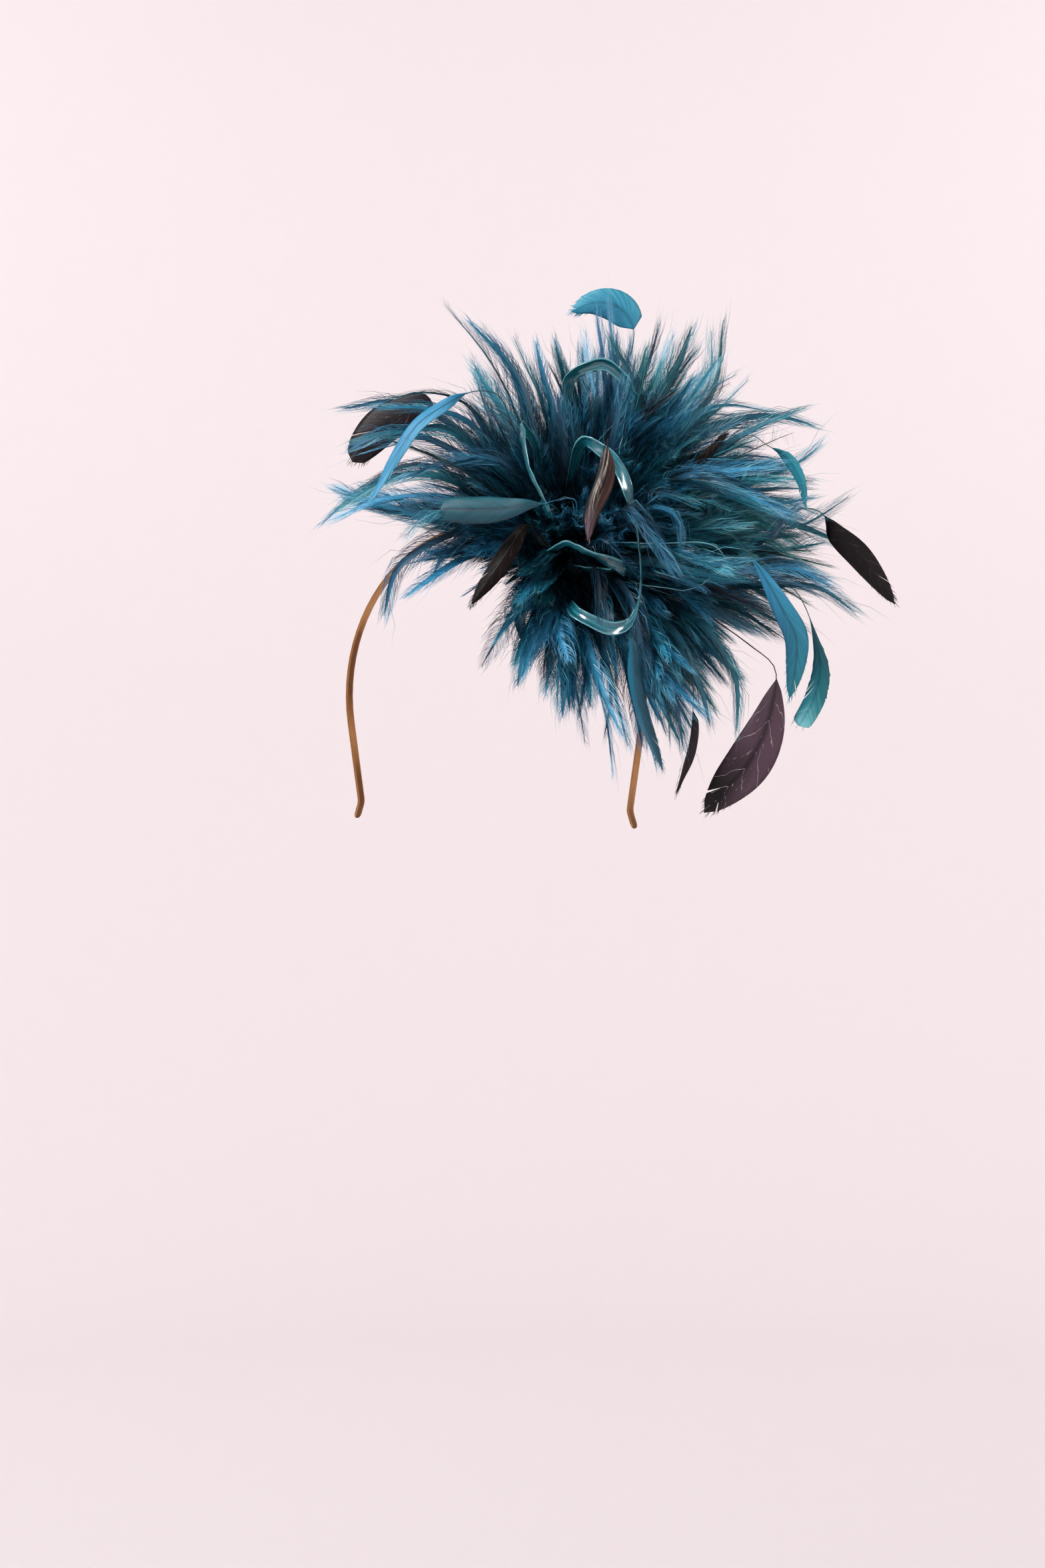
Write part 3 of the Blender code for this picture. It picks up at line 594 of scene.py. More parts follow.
def ringsOf(node):
    # middles, half widths and across directions of a loft's rings, from the pompom outward
    bm = bmesh.new()
    bm.from_mesh(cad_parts[node].data)
    bmesh.ops.remove_doubles(bm, verts=bm.verts, dist=1e-6)
    bm.verts.index_update()
    start = min(bm.verts, key=lambda v: np.linalg.norm(np.array(v.co) - baseMiddle))
    ring = {start}
    while True:
        near = {e.other_vert(v) for v in ring for e in v.link_edges if e.calc_length() < 2.2 * mm}
        if near <= ring:
            break
        ring |= near
    known = set(ring)
    middles, halves, sides = [], [], []
    while ring:
        places = np.array([v.co for v in sorted(ring, key=lambda v: v.index)])
        gaps = np.linalg.norm(places[:, None] - places[None], axis=2)
        first, last = np.unravel_index(gaps.argmax(), gaps.shape)
        side = unit(places[last] - places[first]) if len(places) > 1 else sides[-1]
        if sides and side @ sides[-1] < 0.0:
            side = -side
        middles.append(places.mean(axis=0))
        halves.append(0.5 * gaps.max())
        sides.append(side)
        ring = {e.other_vert(v) for v in ring for e in v.link_edges} - known
        known |= ring
    bm.free()
    # across directions that make the lift face the camera where the piece is widest
    widest = min(max(1, int(np.argmax(halves))), len(middles) - 2)
    lift = np.cross(middles[widest + 1] - middles[widest - 1], sides[widest])
    return np.array(middles), np.array(halves), math.copysign(1.0, lift @ toward) * np.array(sides)


def courseOf(node, count):
    # a plume's or loop's course in even steps, with its across directions and half widths
    middles, halves, sides = ringsOf(node)
    course, length = evenCurve(middles, count)
    knots = np.concatenate([[0.0], np.cumsum(np.linalg.norm(np.diff(middles, axis=0), axis=1))])
    even = np.linspace(0, knots[-1], count)
    return course, unit(spread(even, knots, sides)), np.interp(even, knots, halves), length


plumes = {
    "black_leaf_right": dict(kind="black", shown=0.62, light=0.26, hue=0.12, accent=0.05, camber=0.25),
    "black_leaf_low": dict(kind="black", shown=0.5, light=0.46, hue=1.0, accent=0.85, fade=2.6, sided=0.35,
                           camber=0.12, full=1.14, splits=2, brighter=-0.15, later=4.0),
    "black_leaf_centre": dict(kind="black", shown=0.55, light=0.53, accent=0.9, camber=0.1, fold=38, bow=-2.4,
                              full=1.25, strays=4, finish="creased"),
    "brown_leaf_left": dict(kind="brown", shown=0.5, light=0.06, hue=0.3, accent=0.25, camber=0.3, fold=8,
                            slope=0.18),
    "black_leaf_far_left": dict(kind="black", shown=0.8, light=0.26, hue=0.3, accent=0.1, camber=0.2,
                                blunt=0.5),
    "black_leaf_hanging": dict(kind="black", shown=0.75, light=0.28, hue=0.1, accent=0.1, camber=0.2, fold=25,
                               later=28.0, full=0.85),
    "brown_leaf_inner": dict(kind="brown", shown=0.75, light=0.15, accent=0.2, camber=0.2, fold=25, full=0.7),
    "teal_plume_top": dict(kind="teal", shown=0.62, light=0.76, hue=0.36, camber=0.2, later=6.0),
    "teal_plume_left": dict(kind="teal", shown=0.5, light=0.80, hue=0.0, camber=0.2, splits=2),
    "teal_plume_mid_left": dict(kind="teal", shown=0.6, light=0.45, hue=0.66, camber=0.3, blunt=1.0,
                                slope=0.07, splits=0),
    "teal_plume_low_right": dict(kind="teal", shown=0.55, light=0.70, hue=0.38, camber=0.25, greener=0.8,
                                 brighter=-0.08, full=1.1),
    "teal_plume_right": dict(kind="teal", shown=0.6, light=0.70, hue=0.80, camber=0.25, blunt=1.0, full=1.5,
                             widest=0.7, brighter=0.45, ragged=0.15, splits=2),
    "teal_leaf_right": dict(kind="teal", shown=0.8, light=0.74, hue=0.62, camber=0.2, ragged=0.2,
                            widest=0.35),
    "teal_plume_low": dict(kind="teal", shown=0.8, light=0.58, hue=0.35, camber=0.35, fold=30, full=0.75,
                           accent=0.30, fade=-1.6, slope=-0.10),
}
# what a plume has where the table says nothing
plainPlume = {
    "hue": 0.5,          # from blue at 0 to green at 1; black vanes are more worn toward 1
    "greener": 0.0,      # how these change from root to tip
    "brighter": 0.0,
    "slope": 0.06,       # how much lighter the right half is, partly a painted sheen
    "accent": 0.0,       # the second dye, how it fades to the tip, and how far it keeps to the right
    "fade": 0.9,
    "sided": 0.3,
    "full": 1.0,         # width, as a share of the solid's
    "blunt": 0.0,
    "later": 0.0,        # mm of bare quill beyond the solid's
    "fold": 0,           # degrees that each half is folded back
    "bow": 0.0,          # mm that the vane swings to its side
    "splits": 1,
    "ragged": 0.0,
    "strays": 40,        # loose barbs at the edge
}
vane = {
    "columns": 5,        # points across each half of a vane
    "barbSpacing": 0.75 * mm,
    "lead": 0.60,        # how far ahead of its root a barb ends, as a share of the vane
    "leadBend": 0.85,
    "widest": (0.35, 0.7),   # where a vane may be widest, along it
    "wall": 0.14 * mm,
    "wave": 0.35 * mm,
    "waves": 9.0,
    "midrib": 0.12,      # how far out the darker strip along the quill reaches, and how dark it is
    "midribTone": 0.12,
    "midribAccent": 0.3,
    "bareQuill": 0.8 * mm,   # rings no wider than this are bare quill
}
rachis = {"sides": 6, "steps": 40, "radius": 0.42 * mm, "taper": 0.75, "reach": 0.985, "tone": -0.1}
# loose barbs at a vane's edge: in mm and degrees, and their roots as a share of its half width
stray = {"length": (1.5, 4.0), "width": 0.2, "lift": 0.3, "lean": (2, 20), "root": 0.85, "tone": 0.12}


def vaneGrid(columns, rows):
    # a flat sheet with a map, and its points' places across it (-1 to 1) and along it (0 to 1)
    bm = bmesh.new()
    bm.loops.layers.uv.new("vane")
    bmesh.ops.create_grid(bm, x_segments=columns, y_segments=rows, size=1.0, calc_uvs=True)
    grid = np.array([v.co for v in bm.verts])
    return bm, grid[:, 0], 0.5 * (grid[:, 1] + 1.0)


def moveTo(bm, places):
    for vertex, place in zip(bm.verts, places):
        vertex.co = place


def thickened(bm, wall, name):
    bmesh.ops.solidify(bm, geom=bm.faces, thickness=wall)
    bmesh.ops.recalc_face_normals(bm, faces=bm.faces)
    return meshOf(bm, name, smooth=True)


def leafHalf(part, widest, blunt):
    # half width of a leaf at a share of its length, fuller at the far end where it is blunt
    bend = math.log(0.5) / math.log(widest)
    leaf = np.sin(np.pi * np.clip(part, 0, 1) ** bend) ** 0.7
    full = np.clip((1.0 - part) / (0.06 - 0.03 * blunt), 0, 1) ** 0.5
    return np.where(part > widest, leaf ** (1.0 - 0.85 * blunt), leaf) * np.where(part > 0.5, full, 1.0)


def makePlume(node, look, chance):
    course, sides, halves, length = courseOf(node, 48)
    stations = np.linspace(0, length, len(course))
    start = stations[np.argmax(halves > vane["bareQuill"])] + look["later"] * mm
    leaf = {"start": start, "reach": length - start, "width": halves.max() * look["full"]}
    widest = float(np.clip((stations[halves.argmax()] - start) / leaf["reach"], *vane["widest"]))
    leaf["widest"] = look.get("widest", widest)
    path = (course, sides, length)
    rightSide = math.copysign(1.0, sides[3 * len(sides) // 4] @ (across + 0.5 * up))
    whole = joined(node, [makeVane(look, leaf, path, rightSide, chance), makeRachis(look, path),
                          makeStrays(look, leaf, path, chance)])
    quill = materials["tealQuill" if look["kind"] == "teal" else "blackQuill"]
    slot = look["kind"] + "_vane"
    makePiece(pieceName(node), whole, [materials[look.get("finish", look["kind"])], quill], slot, node)
    return course[int(look["shown"] * len(course)):]


def makeVane(look, leaf, path, rightSide, chance):
    rows = int(leaf["reach"] / vane["barbSpacing"])
    bm, u, v = vaneGrid(2 * vane["columns"], rows)
    number = np.rint(v * rows).astype(int)
    gone = set()
    for _ in range(look["splits"]):
        gone |= openSplit(bm, u, v, number, rows, chance)
    half = np.abs(u)
    barbEnd = 1.0 - look["ragged"] * chance.random((2, rows + 1)) ** 9
    edge = v + vane["lead"] * np.sqrt(v) * (1.0 - v)
    width = leaf["width"] * leafHalf(edge, leaf["widest"], look["blunt"])
    away = u * (width * barbEnd[(u > 0).astype(int), number])
    fold = math.radians(look["fold"])
    camber = look["camber"] * np.abs(away) * half
    wave = np.sin(vane["waves"] * v + 4.0 * (u > 0) + chance.uniform(0, 6))
    wave = vane["wave"] * half * wave * np.sin(math.pi * v)
    along = leaf["start"] + leaf["reach"] * (v + (edge - v) * half ** vane["leadBend"])
    bow = look["bow"] * mm * np.sin(math.pi * v) ** 2
    lift = -np.abs(away) * math.sin(fold) - camber + wave
    moveTo(bm, layAlong(np.stack([away * math.cos(fold) + bow, along, lift], axis=1), *path))
    bm.faces.ensure_lookup_table()
    bmesh.ops.delete(bm, geom=[bm.faces[index] for index in sorted(gone)], context="FACES_ONLY")
    mesh = meshOf(bm, "vane")
    setTint(mesh, vaneTint(look, u, v, half, number, rightSide * u, chance))
    bm = bmesh.new()
    bm.from_mesh(mesh)
    return thickened(bm, vane["wall"], "vane")


def vaneTint(look, u, v, half, number, rightward, chance):
    rows = number.max() + 1
    strand = chance.normal(0, 1, rows)[number]
    midrib = half < vane["midrib"]
    # the right half lighter by the slope, in part a painted sheen
    light = look["light"] + 0.02 * strand - vane["midribTone"] * midrib + look["slope"] * rightward
    light += look["brighter"] * (v - 0.5)
    hue = look["hue"] + 0.04 * chance.normal(0, 1, rows)[number] + 0.12 * rightward
    hue += look["greener"] * (v - 0.5)
    accent = look["accent"] * np.clip(1.0 + look["fade"] * (0.4 - v) + look["sided"] * rightward, 0, 1)
    if look.get("finish") == "creased":
        # silver in creases, with a dark rust edge, and purple towards the tip
        hue = (rightward > 0.5).astype(float)
        accent = look["accent"] * np.clip((v - 0.55) / 0.2, 0, 1) * (half < 0.75)
    return np.stack([light, hue, accent * np.where(midrib, vane["midribAccent"], 1.0)], axis=1)


def makeRachis(look, path):
    tube = unitTube(rachis["sides"], rachis["steps"])
    x, y, part = placesOf(tube).T
    radius = rachis["radius"] * (1.0 - rachis["taper"] * part)
    flat = np.stack([radius * x, rachis["reach"] * path[2] * part, radius * y], axis=1)
    setPlaces(tube, layAlong(flat, *path))
    setTint(tube, np.full((len(part), 3), look["light"] + rachis["tone"]))
    tube.shade_smooth()
    for face in tube.polygons:
        face.material_index = 1
    return tube


def openSplit(bm, u, v, number, rows, chance):
    # parts the vane along one barb: closed at its inner end and open at the edge
    side = 1 if chance.random() < 0.5 else -1
    barb = int(chance.uniform(0.35, 0.92) * rows)
    inner, gape = chance.uniform(0.1, 0.5), chance.uniform(0.8, 2.5)
    depth = np.clip((u * side - inner) / (1.0 - inner), 0, 1)
    beyond = (number > barb) & (depth > 0)
    opening = (gape * depth - 0.95) * np.exp(-(number - barb - 1) / 3.0)
    v[beyond] += opening[beyond] / rows
    order = {vertex: index for index, vertex in enumerate(bm.verts)}
    corners = [[order[vertex] for vertex in face.verts] for face in bm.faces]
    return {index for index, picks in enumerate(corners)
            if min(number[picks]) == barb and min(u[picks] * side) >= inner - 0.01}


def makeStrays(look, leaf, path, chance):
    # short loose barbs that fray the vane's edge
    count = look["strays"]
    strip = repeated(taperingStrip(2), count)
    points = placesOf(strip).reshape(count, -1, 3)
    side = np.where(chance.random(count) < 0.5, 1.0, -1.0)[:, None]
    part = chance.uniform(0.15, 1.0, count)[:, None] ** 0.7
    edge = part + vane["lead"] * np.sqrt(part) * (1.0 - part)
    root = leaf["width"] * leafHalf(edge, leaf["widest"], look["blunt"]) * stray["root"]
    size = chance.uniform(*stray["length"], count)[:, None] * mm
    lean = np.radians(chance.uniform(*stray["lean"], count))[:, None]
    a, b = points[:, :, 0] * stray["width"] * mm, points[:, :, 1]
    x = side * (root + size * b * np.sin(lean) + a)
    y = leaf["start"] + leaf["reach"] * edge + size * b * np.cos(lean)
    z = -look["camber"] * np.abs(x) + chance.normal(0, stray["lift"], count)[:, None] * mm * b
    setPlaces(strip, layAlong(np.stack([x, y, z], axis=2).reshape(-1, 3), *path))
    tone = look["light"] + stray["tone"] * chance.normal(0, 1, count)[:, None] + 0.1 * b
    setTint(strip, np.stack([tone, np.full_like(tone, look["hue"]), np.full_like(tone, 0.3 * look["accent"])],
                            axis=2).reshape(-1, 3))
    return strip


def pieceName(node):
    first, *rest = node.split("_")
    return first + "".join(word.capitalize() for word in rest)


chance = np.random.default_rng(11)
standing = []    # places on the vanes and loops that the hackles leave in sight
for node, look in plumes.items():
    standing.append(makePlume(node, {**plainPlume, **look}, chance))
print("plumes made:", len(plumes))


loops = {
    "quill_loop_left": {"shown": ((0.3, 0.65),), "crinkle": 0.25,
                        "twist": ((0.0, 0), (0.25, -20), (0.5, -18), (0.62, 5), (1.0, 0))},
    "quill_loop_centre": {"shown": ((0.2, 0.48), (0.68, 0.84)), "crinkle": 0.30,
                          "twist": ((0.0, 0), (0.38, 0), (0.48, 66), (0.64, 72), (0.71, -15), (0.9, -15),
                                    (1.0, 0))},
    "quill_loop_low": {"shown": ((0.4, 0.75),), "crinkle": 0.25,
                       "twist": ((0.0, 85), (0.32, 98), (0.42, 12), (0.55, -52), (1.0, -52))},
    "quill_loop_top": {"shown": ((0.28, 0.53),), "crinkle": 0.35,
                       "twist": ((0.0, 52), (0.24, 52), (0.36, -8), (0.54, -8), (0.64, 52), (1.0, 52))},
    "quill_loop_right": {"shown": ((0.3, 0.5),), "crinkle": 0.25, "twist": ((0.0, 0), (1.0, 0))},
}
loopShape = {
    "steps": 150,
    "columns": 8,
    "wall": 0.45 * mm,
    "crown": 0.8 * mm,      # how far the strip's middle stands above its edges
    "crinkles": (95, 41),   # waves along it, in radians, whose product makes the crinkles
    "edgeWaves": 60,
    "edgeWave": 0.05,
}


def makeLoop(node, look, chance):
    # a flat strip on its course: shown gives the shares in sight, twist the degrees at shares of its length
    course, sides, halves, length = courseOf(node, 60)
    bm, u, v = vaneGrid(loopShape["columns"], loopShape["steps"])
    half = np.interp(v, np.linspace(0, 1, len(halves)), halves)
    ahead = unit(np.gradient(course, axis=0))
    bends = np.linalg.norm(np.gradient(ahead, axis=0), axis=1)
    bend = np.interp(v, np.linspace(0, 1, len(course)), bends / bends.max())
    phase = chance.uniform(0, 6, 3)
    long, short = loopShape["crinkles"]
    crinkle = np.sin(long * v + 2.0 * u + phase[0]) * np.sin(short * v + phase[1])
    crinkle = look["crinkle"] * mm * (0.3 + bend) * crinkle
    lifts = np.cross(ahead, sides)
    outward = np.sign(np.sum(lifts * (course - course.mean(axis=0))))
    spin = np.radians(np.interp(np.linspace(0, 1, len(course)), *np.array(look["twist"]).T))[:, None]
    sides = np.cos(spin) * sides + np.sin(spin) * lifts
    lift = outward * loopShape["crown"] * (half / half.max()) * (1.0 - u ** 2) + crinkle
    edge = 1.0 + loopShape["edgeWave"] * np.sin(loopShape["edgeWaves"] * v + phase[2]) * np.abs(u)
    moveTo(bm, layAlong(np.stack([u * half * edge, v * length, lift], axis=1), course, sides, length))
    mesh = thickened(bm, loopShape["wall"], node)
    makePiece(pieceName(node), mesh, [materials["quill"]], "quill", node)
    inSight = [slice(*(int(share * len(course)) for share in shares)) for shares in look["shown"]]
    return np.vstack([course[part] for part in inSight])


for node, look in loops.items():
    standing.append(makeLoop(node, look, chance))
standing = np.vstack(standing)
print("loops made:", len(loops))


# hackle feathers: a few flat masters, bent and tinted one by one along their courses

# half width of the webbed middle and of the fringe in mm, barbs a side, degrees that a barb leans out at root
# and tip, the downy share, how far barbs cling together and in what numbers, their lift and width in mm
hackleColumns = ("core", "fringe", "barbs", "rootSweep", "tipSweep", "fluff", "clump", "clumpSize", "loft",
                 "barb")
hackleStyles = {name: dict(zip(hackleColumns, values)) for name, *values in (
    ("slender", 2.1, 6.5, 138, 20, 5, 0.22, 0.60, 6, 0.7, 0.22),
    ("full", 3.1, 9.5, 142, 27, 7, 0.34, 0.55, 7, 1.2, 0.22),
    ("wispy", 1.0, 8.5, 130, 24, 8, 0.30, 0.35, 4, 1.8, 0.17),
    ("combed", 2.4, 4.5, 120, 14, 4, 0.15, 0.70, 8, 0.5, 0.24),
    ("down", 0.8, 11.0, 140, 50, 26, 0.95, 0.30, 4, 2.6, 0.16),
    ("bare", 0.2, 0.6, 6, 12, 4, 0.10, 0.0, 2, 0.2, 0.16),
)}
hackleShape = {
    "length": 100.0,     # of a flat master, in mm
    "bareQuill": 5.0,
    "segments": 2,       # along a barb
    "barbSize": (2.0, 42.0),
    "sweepSpread": 2.5,  # degrees, and the same for down
    "downSpread": 18,
    "opening": 0.26,     # how much further out a barb sets off than it ends, in radians
    "bendAt": 0.55,
    "loose": 0.12,       # share of the barbs that belong to no clump
    "looseSize": 1.3,
    "looseSpread": 0.14,
    "roll": 22,
    "liftBend": 1.4,
    "rachis": 0.30,
    "rachisTaper": 0.8,
    "rachisTones": (-1.5, 2.6),   # one master of each style for each; the light rachis is partly a pale quill and partly a painted glint
    "lead": 0.20,        # how far ahead of its root the webbed middle's edge lies, as a share of the length
    "fold": 0.30,        # slope of each side of the webbed middle
    # how much of the painted fringe light the webbed middle gets
    "webFringeLight": 0.25,
}


def makeBarbs(style, chance):
    # the barbs of a flat feather along Y: their mesh, points in mm, tones, place along the barb, and root
    count = 2 * style["barbs"]
    side = np.where(np.arange(count) % 2, 1.0, -1.0)
    share = np.clip((np.arange(count) // 2 + chance.uniform(-0.5, 0.5, count)) / style["barbs"], 0, 1)
    root = hackleShape["bareQuill"] + (hackleShape["length"] - 1.0 - hackleShape["bareQuill"]) * share
    fluff = np.clip(1.0 - share / style["fluff"], 0, 1)
    sweep = style["rootSweep"] + (style["tipSweep"] - style["rootSweep"]) * share ** 0.7
    sweep = sweep + chance.normal(0, hackleShape["sweepSpread"], count)
    sweep = np.radians(np.clip(sweep + fluff * chance.normal(0, hackleShape["downSpread"], count), 4, 100))
    width = style["fringe"] * (0.6 + 0.4 * np.clip(share / 0.15, 0, 1)) * (1.0 - share) ** 0.9 + 0.35
    size = np.clip(width / np.sin(sweep) * (1.0 + chance.normal(0, 0.12, count)), *hackleShape["barbSize"])
    loose = chance.random(count) < hackleShape["loose"]
    size = np.where(loose, hackleShape["looseSize"] * size, size)
    sweep = np.where(loose, sweep + chance.normal(0, hackleShape["looseSpread"], count), sweep)
    start = np.stack([np.zeros(count), root], axis=1)
    opened = sweep + hackleShape["opening"]
    setOff = np.stack([side * np.sin(opened), np.cos(opened)], axis=1)
    bend = start + hackleShape["bendAt"] * size[:, None] * setOff
    tip = start + size[:, None] * np.stack([side * np.sin(sweep), np.cos(sweep)], axis=1)

    # neighbours cling together in clumps, most of all at their tips
    clumps = np.floor(np.cumsum(chance.uniform(0.3, 1.7, count)) / (2 * style["clumpSize"])).astype(int) * 2
    clumps += (side > 0).astype(int)
    members = np.maximum(np.bincount(clumps), 1)
    hold = (style["clump"] * chance.uniform(0.4, 1.0, count) * (1.0 - 0.6 * fluff) * ~loose)[:, None]
    for points, pull in ((tip, hold), (bend, 0.4 * hold)):
        centres = np.stack([np.bincount(clumps, points[:, k]) / members for k in range(2)], axis=1)
        points += pull * (centres[clumps] - points)
    tip[:, 1] += chance.normal(0, 1.2, count)
    lift = chance.normal(0, style["loft"], len(members))[clumps]
    lift = lift + chance.normal(0, 0.5 * style["loft"], count)
    lift += fluff * chance.normal(0, 3.5, count)

    strip = repeated(taperingStrip(hackleShape["segments"]), count)
    points = placesOf(strip).reshape(count, -1, 3)
    a, b = points[:, :, 0], points[:, :, 1]
    curve = ((1 - b) ** 2)[..., None] * start[:, None] + (2 * b * (1 - b))[..., None] * bend[:, None]
    curve += (b ** 2)[..., None] * tip[:, None]
    heading = unit((1 - b)[..., None] * (bend - start)[:, None] + b[..., None] * (tip - bend)[:, None])
    wide = a * style["barb"] * (1.0 - 0.3 * b) * (1.0 - 0.5 * share[:, None])
    roll = np.radians(chance.normal(0, hackleShape["roll"], count))[:, None]
    x = curve[..., 0] - heading[..., 1] * wide * np.cos(roll)
    y = curve[..., 1] + heading[..., 0] * wide * np.cos(roll)
    z = lift[:, None] * b ** hackleShape["liftBend"] + wide * np.sin(roll)
    z -= hackleShape["fold"] * np.abs(x) * (1.0 - fluff[:, None])
    tone = 0.9 * chance.normal(0, 1, len(members))[clumps] + 0.4 * chance.normal(0, 1, count)
    # about one barb in eleven is much lighter, a painted glint; some clumps are dark strands
    tone += 2.6 * (chance.random(count) < 0.09) - 1.8 * (chance.random(len(members)) < 0.08)[clumps]
    tone, root = (np.repeat(values, points.shape[1]) for values in (tone, root))
    return strip, np.stack([x, y, z], axis=2).reshape(-1, 3), tone, b.ravel(), root


def makeWeb(style):
    # the webbed middle, one leaf-shaped sheet
    web, u, v = vaneGrid(4, 16)
    half = style["core"] * 1.75 * v ** 0.55 * np.clip(1.0 - v, 0, 1) ** 0.8
    middle = hackleShape["bareQuill"] + (hackleShape["length"] - hackleShape["bareQuill"]) * v
    middle += hackleShape["length"] * hackleShape["lead"] * np.abs(u) * v * (1.0 - v)
    mesh = meshOf(web, "web", smooth=True)
    for face in mesh.polygons:
        face.material_index = 1
    return mesh, np.stack([u * half, middle, -hackleShape["fold"] * np.abs(u) * half - 0.1], axis=1)


def makeMaster(style, rachisTone, chance):
    # a flat feather along Y: its mesh, its points in mm, and what its tint is worked out from
    strip, barbs, tone, out, root = makeBarbs(style, chance)
    web, webbed = makeWeb(style)
    tube = unitTube(3, 12)
    x, y, part = placesOf(tube).T
    radius = hackleShape["rachis"] * (1.0 - hackleShape["rachisTaper"] * part)
    quill = np.stack([radius * x, hackleShape["length"] * part, radius * y], axis=1)
    return {
        "mesh": joined("master", [strip, web, tube]),
        "flat": np.vstack([barbs, webbed, quill]),
        "strand": np.concatenate([tone, np.zeros(len(webbed)), np.full(len(quill), rachisTone)]),
        "out": np.concatenate([out, np.full(len(webbed), hackleShape["webFringeLight"]), np.zeros(len(quill))]),
        "stem": np.concatenate([root, webbed[:, 1], quill[:, 1]]) / hackleShape["length"],
    }


# radii and height of each row's ring in mm, the degrees that its feathers rise and how far these vary
rowColumns = ("node", "inner", "outer", "top", "rise", "riseSpread", "feathers", "styles")
hackleRows = {name: dict(zip(rowColumns, values)) for name, *values in (
    ("brimHackles", "brim_hackles", 23.2, 28.2, 0.0, -12.0, 8.0, 175, "slender full wispy combed"),
    ("outerHackles", "outer_hackles", 17.9, 22.9, 5.0, 8.0, 12.0, 165, "slender full combed wispy"),
    ("middleHackles", "middle_hackles", 12.6, 17.6, 10.0, 32.0, 12.0, 165, "slender wispy combed full"),
    ("innerHackles", "inner_hackles", 7.3, 12.3, 15.0, 54.0, 12.0, 130, "slender combed wispy down"),
    ("crownHackles", "crown_hackles", 0.0, 7.0, 20.0, 76.0, 12.0, 65, "slender combed down"),
)}
